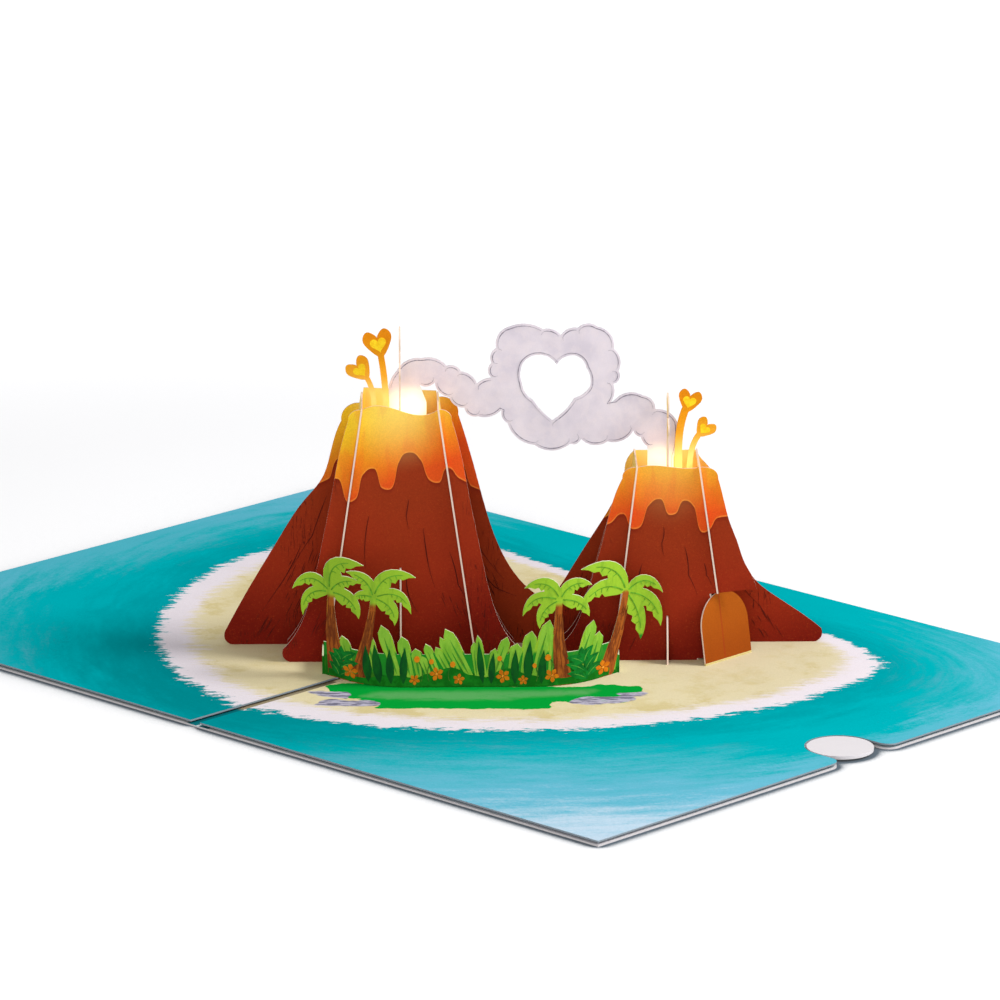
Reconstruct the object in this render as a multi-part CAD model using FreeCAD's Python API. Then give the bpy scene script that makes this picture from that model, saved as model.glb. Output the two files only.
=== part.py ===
import FreeCAD, Part
import math
import os

# Pop up card. All lengths are millimetres. The folded card lies open and flat, +Z up.
# X runs across the fold, Y along it, and the origin is at the middle of the underside.
# The paper scene is an egg-crate lattice of slotted sheets that stands at 45 degrees to
# the fold, so that it can close flat. In the lattice frame used below, s runs along the
# front slices, t runs from front to back, and both are zero at the middle of the fold.

# Folded card
panel_width = 127.0
card_length = 178.0
cover_paper = 0.4
liner_paper = 0.4
pocket_height = 0.6
fold_score_width = 0.6
fold_score_depth = 0.15
left_liner_gap = 2.2
right_liner_gap = 0.9
backing_inset = 2.5
backing_fold_gap = 4.0

# Message slip that pulls out of the pocket in the right panel
slip_paper = 0.3
slip_length = 88.0
slip_width = 120.0
slip_corner = 3.0
slip_side_gap = 0.5
slip_end_gap = 1.5
tongue_width = 10.0
pull_disc_radius = 7.7
pull_disc_paper = 0.5
pull_disc_inset = 0.1
notch_clearance = 0.5
notch_lip_radius = 3.0

# Pop up paper and its slots
sheet_paper = 0.4
slot_play = 0.05
lattice_turn = 45.0
front_plane = -15.0
middle_plane = -7.5
back_plane = 0.0

# Left and right volcano: centre along the slices, rim height and half widths
left_centre = -15.7
left_rim = 62.0
left_rim_half = 9.0
left_shoulder_half = 12.2
left_foot_half = 28.0
left_back_shoulder = 13.9
left_back_outer_top = 59.5
left_back_inner_top = 60.9
left_back_wall = 63.4
wall_slope = 0.9
left_back_foot = 42.1
right_centre = 47.6
right_rim = 47.7
right_rim_half = 7.4
right_shoulder_half = 10.8
right_foot_half = 27.0
right_back_inner_shoulder = 9.7
right_back_outer_shoulder = 11.2
right_outer_shoulder = 11.8
right_middle_half = 11.0
right_middle_foot = 13.6
right_back_foot = 37.7
saddle_place = 19.8
saddle_height = 10.3
toe_height = 3.2
shoulder_drop = 2.6
back_shoulder_drop = 4.2
right_outer_drop = 6.0
rib_lean = 8.2
right_inner_rib_lean = 6.5
rib_margin = 1.0
slot_split_share = 0.45
crater_depth = 7.0
web_nose = 4.2
left_web_nose_height = 23.2
right_web_nose_height = 11.0
web_tail_height = 30.0
right_web_tail = 13.0

# Flank shapes, as (share of rim height, share of the spread from shoulder to foot)
front_flank = ((0.82, 0.14), (0.64, 0.27), (0.45, 0.42), (0.26, 0.58), (0.12, 0.79))
outer_front_flank = ((0.83, 0.09), (0.71, 0.19), (0.61, 0.31), (0.50, 0.43), (0.43, 0.55), (0.26, 0.68),
                     (0.12, 0.84))
back_flank_left = ((0.79, 0.08), (0.66, 0.17), (0.58, 0.31), (0.42, 0.54), (0.22, 0.80))
back_flank_right = ((0.69, 0.12), (0.48, 0.25), (0.32, 0.40), (0.23, 0.60), (0.13, 0.86))
inner_flank_left = ((0.79, 0.11), (0.66, 0.21), (0.47, 0.36), (0.33, 0.53), (0.23, 0.74))
inner_flank_right = ((0.81, 0.06), (0.75, 0.13), (0.66, 0.26), (0.55, 0.44), (0.42, 0.65), (0.30, 0.84))

# Arched anchor flaps, one glued to each panel
flap_line = 54.5
flap_middle = 33.7
flap_width = 16.2
flap_height = 16.6
flap_lean = 9.0
flap_foot = 5.0

# Heart shaped smoke that joins the two craters
smoke_paper = 0.4
smoke_tongue_depth = 9.0

# Its outline, clockwise, as (across, up, height of the arc to the next corner). The trails
# are measured from each crater's centre at its rim, and the heart from its own middle.
smoke_heart_place = 21.0
smoke_heart_middle = 66.0
left_trail_back = ((-2.6, 3.4, 0.3), (-0.7, 7.2, 1.1), (5.3, 10.3, 0.9), (11.1, 8.4, 0.7),
                   (14.5, 7.0, 0.7), (18.3, 4.0, 0.4))
heart_over = ((-14.9, 1.4, 0.9), (-15.0, 5.0, 0.8), (-13.9, 8.6, 1.3), (-10.7, 13.9, 1.0),
              (-2.8, 13.2, 0.7), (1.4, 11.7, 0.7), (5.4, 13.5, 0.9), (10.0, 13.8, 1.4),
              (13.9, 8.4, 1.0), (15.0, 3.0, 0.9), (13.8, -0.2, 0.8), (12.6, -5.4, 0.0))
right_trail_back = ((-12.3, 14.3, 1.2), (-5.8, 15.3, 0.9), (-2.8, 11.9, 1.0), (2.4, 8.7, 0.5),
                    (1.6, 0.0, 0.0))
right_trail_front = ((-4.6, 2.8, 0.3), (-6.2, 5.2, 0.4), (-8.0, 6.7, 1.2), (-14.1, 4.1, 1.2))
heart_under = ((6.2, -13.6, 0.6), (3.6, -14.8, 1.5), (-4.8, -15.0, 1.3), (-11.2, -9.6, 0.8),
               (-12.4, -6.0, 1.0))
left_trail_front = ((18.5, -3.9, 0.9), (15.3, -1.8, 0.8), (11.7, 0.8, 0.9), (8.3, 4.4, 0.7),
                    (4.7, 3.8, 0.0), (6.3, -0.5, 0.0))
heart_hole = ((0.4, 4.6, 0.8), (4.8, 6.8, 0.6), (7.4, 3.8, 0.5), (8.3, -0.8, 0.5), (4.6, -3.6, 0.5),
              (-0.6, -9.0, 0.3), (-5.2, -4.0, 0.6), (-7.8, 0.0, 0.5), (-7.6, 5.0, 0.5), (-4.0, 7.0, 0.7))
left_tongue = (-2.6, 6.3)
right_tongue = (-4.6, 1.6)

# Lava hearts on stalks. Each heart has its middle and two points on its stalk, measured
# from the root at the rim, and its size, turn and stalk width.
heart_paper = 0.4
root_half = 2.9
root_taper = 0.4
left_root = -4.5
right_root = 4.0
left_big_heart = ((-0.5, 14.0), ((1.3, -2.0), (0.8, 6.0)), 6.9, 14.0, 1.5)
left_small_heart = ((-4.8, 7.7), ((-1.6, -2.5), (-2.0, 2.5)), 6.0, 40.0, 1.2)
right_big_heart = ((1.2, 14.0), ((-1.3, -0.7), (-1.0, 6.9)), 5.6, -14.0, 1.8)
right_small_heart = ((4.8, 7.3), ((1.4, -1.2), (2.0, 2.7)), 4.9, -40.0, 1.35)
stalk_width = 1.5
left_stalk_top = 81.2
right_stalk_top = 64.8

# Planting strip, bowed towards the front, with two pairs of palms
strip_middle = 0.8
strip_reach = -36.3
strip_straight = 30.0
strip_bend_radius = 20.0
strip_bend = 45.0
strip_end_run = 7.9
leaf_bend_radius = 12.0
leaf_bend = 35.0
leaf_run = 6.5
strip_green_height = 8.0
tie_height = 4.4

# Light inside each crater
cell_radius = 2.4
cell_height = 1.6
cell_count = 3
lamp_radius = 1.5
lamp_length = 4.2
clip_wall = 0.35
lamp_offset = 5.2

card_top = cover_paper + pocket_height + liner_paper
half_length = card_length / 2
half_paper = sheet_paper / 2
slot_width = sheet_paper + 2 * slot_play
lattice_reach = panel_width + card_length
trail_low = -crater_depth - smoke_tongue_depth
disc_x = panel_width - pull_disc_inset - pull_disc_radius
slip_level = cover_paper + (pocket_height - slip_paper) / 2
V = FreeCAD.Vector


def box(x0, x1, y0, y1, z0, z1):
    return Part.makeBox(x1 - x0, y1 - y0, z1 - z0, V(x0, y0, z0))


def cylinder(x, y, radius, z0, z1):
    return Part.makeCylinder(radius, z1 - z0, V(x, y, z0))


def stretch(points):
    """One edge through the points: a straight line for two of them, otherwise a smooth curve."""
    if len(points) == 2:
        return Part.makeLine(points[0], points[1])
    curve = Part.BSplineCurve()
    curve.interpolate(Points=points)
    return curve.toShape()


def outline_face(stretches, place):
    """A flat face from stretches of (along, up) points; place turns one pair into a point."""
    edges = [stretch([place(*pair) for pair in points]) for points in stretches]
    return Part.Face(Part.Wire(Part.__sortEdges__(edges)))


def slice_sheet(stretches, plane, paper=sheet_paper):
    """A sheet parallel to the front slices, centred on its plane."""
    face = outline_face(stretches, lambda s, z: V(s, plane - paper / 2, z))
    return face.extrude(V(0, paper, 0))


def web_sheet(stretches, centre, paper=sheet_paper):
    """A sheet that runs from front to back, square to the slices."""
    face = outline_face(stretches, lambda t, z: V(centre - paper / 2, t, z))
    return face.extrude(V(paper, 0, 0))


def band(low, high):
    """Everything in the lattice between two heights."""
    return box(-lattice_reach, lattice_reach, -lattice_reach, lattice_reach, low, high)


def slice_slab(plane):
    """The room that a slice needs in the sheets that it crosses."""
    return box(-lattice_reach, lattice_reach, plane - slot_width / 2, plane + slot_width / 2,
               -lattice_reach, lattice_reach)


def web_slab(centre):
    return box(centre - slot_width / 2, centre + slot_width / 2, -lattice_reach, lattice_reach,
               -lattice_reach, lattice_reach)


def lean(shape, centre, height, angle):
    """Tips a web about a line that runs front to back at the given height."""
    leaned = shape.copy()
    leaned.rotate(V(centre, 0, height), V(0, 1, 0), angle)
    return leaned


def half_lap(sheets, slabs, top_slotted, bottom_slotted, split):
    """Slots two crossing sheets: one from its top edge and one from its bottom edge."""
    above = slabs[bottom_slotted].common(band(split, lattice_reach))
    below = slabs[top_slotted].common(band(-lattice_reach, split))
    sheets[top_slotted] = sheets[top_slotted].cut(above)
    sheets[bottom_slotted] = sheets[bottom_slotted].cut(below)


def flank(centre, side, rim, shoulder_half, start, foot, shape, low):
    """Points down one side of a mountain, from height start at its shoulder to a foot at height low."""
    spread = foot - shoulder_half
    points = [(centre + side * shoulder_half, start)]
    points += [(centre + side * (shoulder_half + spread * out), rim * up) for up, out in shape]
    return points + [(centre + side * foot, low)]


def shoulder(centre, side, top, rim_half, shoulder_half, drop, fall=(0.04, 0.4)):
    """The top corner of a slice, outside the rib; fall says how soon it slopes down."""
    spread = shoulder_half - rim_half
    return [(centre + side * rim_half, top), (centre + side * (rim_half + 0.5 * spread), top - fall[0] * drop),
            (centre + side * (rim_half + 0.88 * spread), top - fall[1] * drop),
            (centre + side * shoulder_half, top - drop)]


def toe(centre, side, foot):
    """The rounded bottom corner of a slice."""
    return [(centre + side * foot, toe_height), (centre + side * (foot - 0.1), 0.35 * toe_height),
            (centre + side * (foot - 1.6), 0.0)]


def front_slice(centre, rim, rim_half, halves, shapes, foot, wave):
    """A front slice with its wavy crater edge between the two ribs."""
    top = rim - 0.3
    sides = []
    for side, half, shape in zip((-1, 1), halves, shapes):
        corner = shoulder(centre, side, top, rim_half, half, shoulder_drop)
        slope = flank(centre, side, rim, half, top - shoulder_drop, foot, shape, toe_height)
        sides.append((corner, slope, toe(centre, side, foot)))
    (left_corner, left_slope, left_toe), (right_corner, right_slope, right_toe) = sides
    crater = [left_corner[0], (centre - 0.35 * rim_half, rim + 0.5 * wave),
              (centre + 0.3 * rim_half, rim - 1.3 * wave), right_corner[0]]
    return slice_sheet([crater, right_corner, right_slope, right_toe, [right_toe[-1], left_toe[-1]],
                        left_toe, left_slope, left_corner], front_plane)


def hidden_flank(centre, side, rim, shoulder_half, foot):
    """The edge of a middle slice, a little inside the front slice's edge."""
    spread = foot - shoulder_half
    points = [(centre + side * (shoulder_half + 0.05 * spread - 0.6), rim - crater_depth)]
    points += [(centre + side * (shoulder_half + spread * out - 0.6), rim * up)
               for up, out in front_flank if up < 0.8]
    return points + [(centre + side * (foot - 1.0), toe_height)]


def middle_slice(centre, left, right):
    """The slice inside a mountain; its top is the floor of the crater."""
    left_toe = toe(centre, -1, centre - left[-1][0])
    right_toe = toe(centre, 1, right[-1][0] - centre)
    return slice_sheet([[left[0], right[0]], right, right_toe, [right_toe[-1], left_toe[-1]],
                        left_toe, left], middle_plane)


def twin_back_slice():
    """One wide sheet behind both mountains, with a low saddle between them."""
    drop = back_shoulder_drop
    left_half = left_back_shoulder
    inner_half = right_back_inner_shoulder
    outer_half = right_back_outer_shoulder
    left_toe = toe(left_centre, -1, left_back_foot)
    right_toe = toe(right_centre, 1, right_back_foot)
    left_out = shoulder(left_centre, -1, left_back_outer_top, left_rim_half, left_half, drop)
    left_in = shoulder(left_centre, 1, left_back_inner_top, left_rim_half, left_half, drop)
    right_in = shoulder(right_centre, -1, right_rim, right_rim_half, inner_half, drop, (0.28, 0.68))
    right_out = shoulder(right_centre, 1, right_rim, right_rim_half, outer_half, right_outer_drop, (0.5, 0.8))
    left_flank = flank(left_centre, -1, left_rim, left_half, left_back_outer_top - drop, left_back_foot,
                       back_flank_left, toe_height)
    left_slope = flank(left_centre, 1, left_rim, left_half, left_back_inner_top - drop,
                       saddle_place - left_centre, inner_flank_left, saddle_height)
    right_slope = flank(right_centre, -1, right_rim, inner_half, right_rim - drop,
                        right_centre - saddle_place, inner_flank_right, saddle_height)
    right_flank = flank(right_centre, 1, right_rim, outer_half, right_rim - right_outer_drop, right_back_foot,
                        back_flank_right, toe_height)
    wall_left = (left_centre - left_rim_half, left_back_wall)
    wall_right = (left_centre + left_rim_half, left_back_wall - wall_slope)
    stretches = [left_flank, left_toe, [left_toe[-1], right_toe[-1]], right_toe, right_flank, right_out,
                 [right_out[0], right_in[0]], right_in, right_slope, left_slope, left_in,
                 [left_in[0], wall_right], [wall_right, wall_left], [wall_left, left_out[0]], left_out]
    return slice_sheet(stretches, back_plane)


def rib(centre, side, rim, rim_half, angle):
    """A leaning side wall of a crater; its cut edges show in front of the front slice."""
    front = front_plane - half_paper - rib_margin
    back = back_plane + half_paper + rib_margin
    tall = rim + 2.0
    wall = web_sheet([[(front, -2.0), (back, -2.0)], [(back, -2.0), (back, tall - 2.0)],
                      [(back, tall - 2.0), (front, tall - 2.0)], [(front, tall - 2.0), (front, -2.0)]],
                     centre + side * rim_half)
    return lean(wall, centre + side * rim_half, rim, -side * angle).common(band(0, lattice_reach))


def rib_slab(centre, side, rim, rim_half, angle):
    return lean(web_slab(centre + side * rim_half), centre + side * rim_half, rim, -side * angle)


def heart(middle, notch, width, height, turn):
    """A heart outline face in (along, up), its notch on top, turned about its middle."""
    half = width / 2
    right = [(0, 0), (0.22 * half, 0.16 * height), (0.62 * half, 0.26 * height),
             (half, 0.02 * height), (0.80 * half, -0.28 * height), (0.40 * half, -0.56 * height),
             (0, -0.74 * height)]
    left = [(-a, b) for a, b in right]
    angle = math.radians(turn)

    def place(a, b):
        b += notch
        return (middle[0] + a * math.cos(angle) - b * math.sin(angle),
                middle[1] + a * math.sin(angle) + b * math.cos(angle))

    return [[place(*pair) for pair in right], [place(*pair) for pair in left]]


def heart_solid(middle, width, height, turn, make, *where):
    return make(heart(middle, 0.22 * height, width, height, turn), *where)


def stalk(points, width, make, *where):
    """A curved stalk of even width, from its root to its heart."""
    left = []
    right = []
    for index, (along, up) in enumerate(points):
        before = points[max(index - 1, 0)]
        after = points[min(index + 1, len(points) - 1)]
        run = (after[0] - before[0], after[1] - before[1])
        size = math.hypot(*run)
        left.append((along - run[1] / size * width / 2, up + run[0] / size * width / 2))
        right.append((along + run[1] / size * width / 2, up - run[0] / size * width / 2))
    return make([left, [left[-1], right[-1]], right, [right[0], left[0]]], *where)


def fused(solids):
    return solids[0].multiFuse(solids[1:]).removeSplitter()


def lava_hearts(root, rim, hearts):
    """Two hearts on stalks over one root, which is glued to the front of the middle slice."""
    plane = middle_plane - half_paper - heart_paper / 2
    low = rim - 1.5 * crater_depth
    high = rim - 3.0
    narrow = root_half - root_taper
    corners = [(root - root_half, low), (root + root_half, low), (root + narrow, high), (root - narrow, high)]
    parts = [slice_sheet(list(zip(corners, corners[1:] + corners[:1])), plane, heart_paper)]
    for (across, up), bends, size, turn, width in hearts:
        middle = (root + across, rim + up)
        points = [(root + bends[0][0], low + 0.5)]
        points += [(root + bend_across, rim + bend_up) for bend_across, bend_up in bends]
        parts.append(stalk(points + [middle], width, slice_sheet, plane, heart_paper))
        parts.append(heart_solid(middle, size, size, turn, slice_sheet, plane, heart_paper))
    return fused(parts)


def web_column():
    """Front and back of a centre web's upright column, between the front and middle slices."""
    return front_plane + half_paper + 0.3, middle_plane - half_paper - heart_paper - 0.6


def web(centre, rim, nose_height, tail):
    """The centre web of a mountain: a nose in front, a column inside it and a tail behind."""
    nose = front_plane - web_nose
    column_front, column_back = web_column()
    floor = rim - crater_depth
    lip = (front_plane - half_paper - 0.8, nose_height - 0.6)
    body = [[(column_front, floor), (column_front, nose_height)],
            [(column_front, nose_height), lip],
            [lip, (nose + 1.2, 0.5 * nose_height), (nose, 0.0)],
            [(nose, 0.0), (tail[-1][0], 0.0)],
            [(tail[-1][0], 0.0), tail[-1]],
            list(reversed(tail)),
            [tail[0], (column_back, web_tail_height)],
            [(column_back, web_tail_height), (column_back, floor)],
            [(column_back, floor), (column_front, floor)]]
    return web_sheet(body, centre)


def web_hearts(centre, rim, stalk_top, small_drop):
    """The two stalks with hearts that a centre web carries on its column."""
    head = sum(web_column()) / 2
    foot = rim - crater_depth - 2.0
    low = stalk_top - small_drop
    return [stalk([(head + 1.0, foot), (head + 0.9, rim), (head + 0.2, stalk_top - 7.0),
                   (head, stalk_top - 3.6)], stalk_width, web_sheet, centre),
            stalk([(head - 1.6, foot), (head - 1.7, rim), (head - 2.5, low - 4.0),
                   (head - 2.9, low - 2.4)], 0.8 * stalk_width, web_sheet, centre),
            heart_solid((head, stalk_top - 3.4), 6.0, 6.0, 0, web_sheet, centre),
            heart_solid((head - 2.9, low - 2.2), 4.4, 4.4, 20, web_sheet, centre)]


def arc_top(start, end, height):
    """The top of an arc that stands out to the left of its chord by the given height."""
    run = (end[0] - start[0], end[1] - start[1])
    out = height / math.hypot(*run)
    return (start[0] + end[0]) / 2 - run[1] * out, (start[1] + end[1]) / 2 + run[0] * out


def puff_sheet(points, plane, paper):
    """A sheet with a scalloped edge: between two corners runs an arc, or a line if it has no height."""
    edges = []
    for (s, z, height), (next_s, next_z, _) in zip(points, points[1:] + points[:1]):
        corners = [(s, z), (next_s, next_z)]
        if height:
            corners.insert(1, arc_top(*corners, height))
        placed = [V(across, plane - paper / 2, up) for across, up in corners]
        edges.append(Part.Arc(*placed).toShape() if height else Part.makeLine(*placed))
    return Part.Face(Part.Wire(edges)).extrude(V(0, paper, 0))


def moved(points, across, up):
    return [(s + across, z + up, height) for s, z, height in points]


def smoke_heart():
    """The smoke sheet: a puffy heart with a hole, and a trail down into each crater."""
    plane = middle_plane + half_paper + smoke_paper / 2
    heart_at = (smoke_heart_place, smoke_heart_middle)
    left_at = (left_centre, left_rim)
    right_at = (right_centre, right_rim)
    points = moved([(left_tongue[0], trail_low, 0.0)], *left_at) + moved(left_trail_back, *left_at)
    points += moved(heart_over, *heart_at) + moved(right_trail_back, *right_at)
    points += moved([(right_tongue[1], trail_low, 0.0), (right_tongue[0], trail_low, 0.0)], *right_at)
    points += moved(right_trail_front, *right_at) + moved(heart_under, *heart_at)
    points += moved(left_trail_front, *left_at) + moved([(left_tongue[1], trail_low, 0.0)], *left_at)
    hole = puff_sheet(moved(heart_hole, *heart_at), plane, 3 * smoke_paper)
    return puff_sheet(points, plane, smoke_paper).cut(hole)


def bowed_path(offset, level):
    """The edges of the strip's plan line, moved sideways by offset, from left to right."""
    turn = strip_bend - leaf_bend
    heading = -turn
    half = [(leaf_run, 0, 0), (0, leaf_bend_radius, -leaf_bend), (strip_end_run, 0, 0),
            (0, strip_bend_radius, strip_bend)]
    moves = half + [(strip_straight, 0, 0)] + [(run, radius, angle) for run, radius, angle in reversed(half)]
    across, back = 0.0, 0.0
    stations = []
    for run, radius, angle in moves:
        if run:
            step = (run * math.cos(math.radians(heading)), run * math.sin(math.radians(heading)))
        else:
            side = math.copysign(1, angle)
            start, end = math.radians(heading), math.radians(heading + angle)
            step = (side * radius * (math.sin(end) - math.sin(start)),
                    side * radius * (math.cos(start) - math.cos(end)))
        stations.append((across, back, heading, angle, step))
        across, back = across + step[0], back + step[1]
        heading += angle
    shift = (strip_middle - across / 2, strip_reach - min(station[1] for station in stations))
    edges = []
    for start_s, start_t, course, angle, step in stations:
        points = []
        for share in (0.0, 0.5, 1.0):
            direction = math.radians(course + share * angle)
            if angle:
                side = math.copysign(1, angle)
                radius = math.hypot(*step) / (2 * math.sin(math.radians(abs(angle)) / 2))
                first = math.radians(course)
                s = start_s + side * radius * (math.sin(direction) - math.sin(first))
                t = start_t + side * radius * (math.cos(first) - math.cos(direction))
            else:
                s = start_s + share * step[0]
                t = start_t + share * step[1]
            points.append(V(s + shift[0] - offset * math.sin(direction),
                            t + shift[1] + offset * math.cos(direction), level))
        edges.append(Part.Arc(*points).toShape() if angle else Part.makeLine(points[0], points[2]))
    return edges


def bowed_wall(height):
    """The whole upright band from which the strip and its palms are cut."""
    near = bowed_path(-half_paper, 0)
    far = bowed_path(half_paper, 0)
    ends = [Part.makeLine(near[0].Vertexes[0].Point, far[0].Vertexes[0].Point),
            Part.makeLine(near[-1].Vertexes[-1].Point, far[-1].Vertexes[-1].Point)]
    wire = Part.Wire(Part.__sortEdges__(near + far + ends))
    return Part.Face(wire).extrude(V(0, 0, height))


def strip_shape(points):
    """A closed polygon in (along, up), as a prism through the bowed wall."""
    corners = [V(s, strip_reach - 4, z) for s, z in points]
    face = Part.Face(Part.makePolygon(corners + corners[:1]))
    return face.extrude(V(0, 24, 0))


def spine(root, tip, bow, count):
    """Points and left hand normals along a leaf's bent middle line."""
    run = (tip[0] - root[0], tip[1] - root[1])
    size = math.hypot(*run)
    out = 2 * bow / size
    bent = ((root[0] + tip[0]) / 2 - run[1] * out, (root[1] + tip[1]) / 2 + run[0] * out)
    line = []
    for index in range(count + 1):
        u = index / count
        point = [(1 - u) ** 2 * root[k] + 2 * u * (1 - u) * bent[k] + u * u * tip[k] for k in (0, 1)]
        slope = [2 * (1 - u) * (bent[k] - root[k]) + 2 * u * (tip[k] - bent[k]) for k in (0, 1)]
        size = math.hypot(*slope)
        line.append((u, point, (-slope[1] / size, slope[0] / size)))
    return line


def palm_leaf(root, tip, bow, width):
    """A palm leaf: smooth along its upper edge and toothed along its lower edge."""
    upper = []
    lower = []
    outer = math.copysign(1, bow)
    for u, point, normal in spine(root, tip, bow, 10):
        body = width * (math.sin(math.pi * u ** 0.75) ** 0.8 if 0 < u < 1 else 0.0)
        tooth = 0.62 if round(u * 10) % 2 and u > 0.35 else 1.0
        upper.append((point[0] + normal[0] * outer * 0.45 * body, point[1] + normal[1] * outer * 0.45 * body))
        lower.append((point[0] - normal[0] * outer * 0.55 * body * tooth,
                      point[1] - normal[1] * outer * 0.55 * body * tooth))
    return strip_shape(upper + list(reversed(lower[1:-1])))


def blade(foot, tip, width):
    """A grass blade with a blunt round tip."""
    left = []
    right = []
    for u, point, normal in spine(foot, tip, 0.0, 8):
        body = 0.5 * width * (math.sqrt(max(1 - ((u - 0.72) / 0.28) ** 2, 0)) if u > 0.72 else 0.7 + 0.42 * u)
        left.append((point[0] + normal[0] * body, point[1] + normal[1] * body))
        right.append((point[0] - normal[0] * body, point[1] - normal[1] * body))
    return strip_shape(left + list(reversed(right[:-1])))


# Palms: crown, trunk foot, trunk width at the foot, and each leaf's tip, bow and width
palms = (
    ((-32.2, 20.6), (-30.4, 2.0), 4.6,
     (((-41.3, 20.0), -2.6, 3.4), ((-38.8, 13.6), -2.4, 3.0), ((-24.4, 28.9), 3.6, 4.4),
      ((-25.6, 15.7), 2.0, 4.2), ((-25.2, 24.6), 1.4, 3.2))),
    ((-22.1, 21.4), (-26.0, 2.0), 3.0,
     (((-12.2, 26.7), 3.0, 4.0), ((-13.3, 17.8), 3.0, 3.2), ((-17.2, 15.0), 1.8, 3.8),
      ((-28.6, 26.5), -1.8, 3.6), ((-27.0, 20.4), -0.8, 2.6))),
    ((21.5, 20.9), (22.2, 2.0), 4.4,
     (((13.2, 24.0), -2.6, 3.8), ((12.8, 17.2), -2.6, 3.2), ((16.8, 14.1), -1.6, 3.4),
      ((29.2, 23.4), 2.2, 3.6), ((28.6, 15.8), 1.6, 3.4))),
    ((37.4, 19.2), (32.6, 2.0), 3.2,
     (((26.5, 27.6), -3.0, 4.2), ((26.1, 18.2), -3.2, 4.2), ((46.3, 18.4), 2.8, 3.2),
      ((45.8, 10.2), 2.4, 4.2), ((41.0, 7.2), 1.2, 4.0))),
)

# Grass blades of the strip: foot, tip and width
blades = (
    ((-32.6, 1.0), (-32.8, 8.2), 1.6), ((-27.0, 2.0), (-29.6, 10.6), 3.0),
    ((-20.8, 2.0), (-24.0, 12.8), 3.0), ((-16.2, 2.0), (-20.4, 14.9), 3.2),
    ((-13.4, 2.0), (-15.6, 12.4), 3.0), ((-11.2, 2.0), (-12.4, 9.4), 3.0),
    ((-6.6, 2.0), (-10.0, 10.6), 2.2), ((-3.6, 2.0), (-7.6, 9.8), 2.2),
    ((-1.4, 2.0), (-6.6, 12.2), 2.2), ((0.8, 2.0), (-5.4, 14.2), 3.0),
    ((2.2, 2.0), (1.4, 11.0), 2.0), ((4.2, 2.0), (2.2, 12.6), 1.6),
    ((4.6, 2.0), (6.4, 9.4), 2.2), ((6.0, 2.0), (9.2, 12.2), 2.6),
    ((10.0, 2.0), (11.6, 10.6), 3.4), ((13.0, 2.0), (15.0, 13.6), 3.4),
    ((15.6, 2.0), (19.2, 16.2), 3.4), ((19.4, 2.0), (20.6, 13.4), 3.0),
    ((25.4, 2.0), (29.6, 14.6), 3.0), ((28.6, 2.0), (31.0, 11.4), 3.0),
    ((34.2, 1.0), (34.6, 9.4), 2.2),
)


def trunk(crown, foot, width):
    """A palm trunk that widens to its foot and bends a little."""
    lean_side = math.copysign(1, foot[0] - crown[0])
    left = []
    right = []
    for u, point, normal in spine(foot, (crown[0], crown[1] + 0.4), 0.6 * lean_side, 6):
        body = 0.5 * (width + (1.3 - width) * u ** 0.7)
        left.append((point[0] + normal[0] * body, point[1] + normal[1] * body))
        right.append((point[0] - normal[0] * body, point[1] - normal[1] * body))
    return strip_shape(left + list(reversed(right)))


def strip_ends():
    """Where the strip itself stops, left and right, short of the palm leaves."""
    run = strip_straight / 2 + strip_bend_radius * math.sin(math.radians(strip_bend))
    run += strip_end_run * math.cos(math.radians(strip_bend))
    return strip_middle - run, strip_middle + run


def strip_end_plane():
    """How far back the strip's two ends lie."""
    back = strip_reach + strip_bend_radius * (1 - math.cos(math.radians(strip_bend)))
    return back + strip_end_run * math.sin(math.radians(strip_bend))


def planting_strip():
    left, right = strip_ends()
    outlines = [strip_shape([(left, 0), (right, 0), (right, strip_green_height), (left, strip_green_height)])]
    for crown, foot, width, leaves in palms:
        outlines.append(trunk(crown, foot, width))
        outlines += [palm_leaf(crown, tip, bow, leaf_width) for tip, bow, leaf_width in leaves]
    outlines += [blade(foot, tip, width) for foot, tip, width in blades]
    shape = outlines[0].multiFuse(outlines[1:]).removeSplitter()
    tallest = max(tip[1] + 2 * abs(bow) for palm in palms for tip, bow, _ in palm[3])
    return bowed_wall(tallest).common(shape)


def strip_tie(side):
    """A paper link from one end of the strip back to a front slice."""
    place = strip_ends()[1] + half_paper if side > 0 else strip_ends()[0] - half_paper
    front = strip_end_plane() - 0.3
    back = front_plane - half_paper
    return web_sheet([[(front, 0), (back, 0)], [(back, 0), (back, tie_height)],
                      [(back, tie_height), (front, tie_height)], [(front, tie_height), (front, 0)]], place)


def tipped(shape):
    """Leans a flap back over the lattice about its bottom line."""
    leaned = shape.copy()
    leaned.rotate(V(0, 0, 0), V(0, 1, 0), -flap_lean)
    return leaned.common(box(-flap_height, 2 * flap_height, -flap_width, flap_width, 0, 2 * flap_height))


def at_flap_line(shape):
    placed = shape.copy()
    placed.translate(V(flap_line, flap_middle, card_top))
    return placed


def anchor_flap():
    """The right arched flap, with a foot folded under it."""
    half = flap_width / 2
    side_height = flap_height - half
    arch = Part.Arc(V(0, -half, side_height), V(0, 0, flap_height), V(0, half, side_height)).toShape()
    face = Part.Face(Part.Wire([Part.makeLine(V(0, -half, 0), V(0, -half, side_height)), arch,
                                Part.makeLine(V(0, half, side_height), V(0, half, 0)),
                                Part.makeLine(V(0, half, 0), V(0, -half, 0))]))
    panel = tipped(face.extrude(V(-sheet_paper, 0, 0)))
    inner = half - flap_foot
    corners = [V(0, -half, 0), V(0, half, 0), V(-flap_foot, inner, 0), V(-flap_foot, -inner, 0)]
    foot = Part.Face(Part.makePolygon(corners + corners[:1])).extrude(V(0, 0, sheet_paper))
    return at_flap_line(panel.fuse(foot).removeSplitter())


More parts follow.
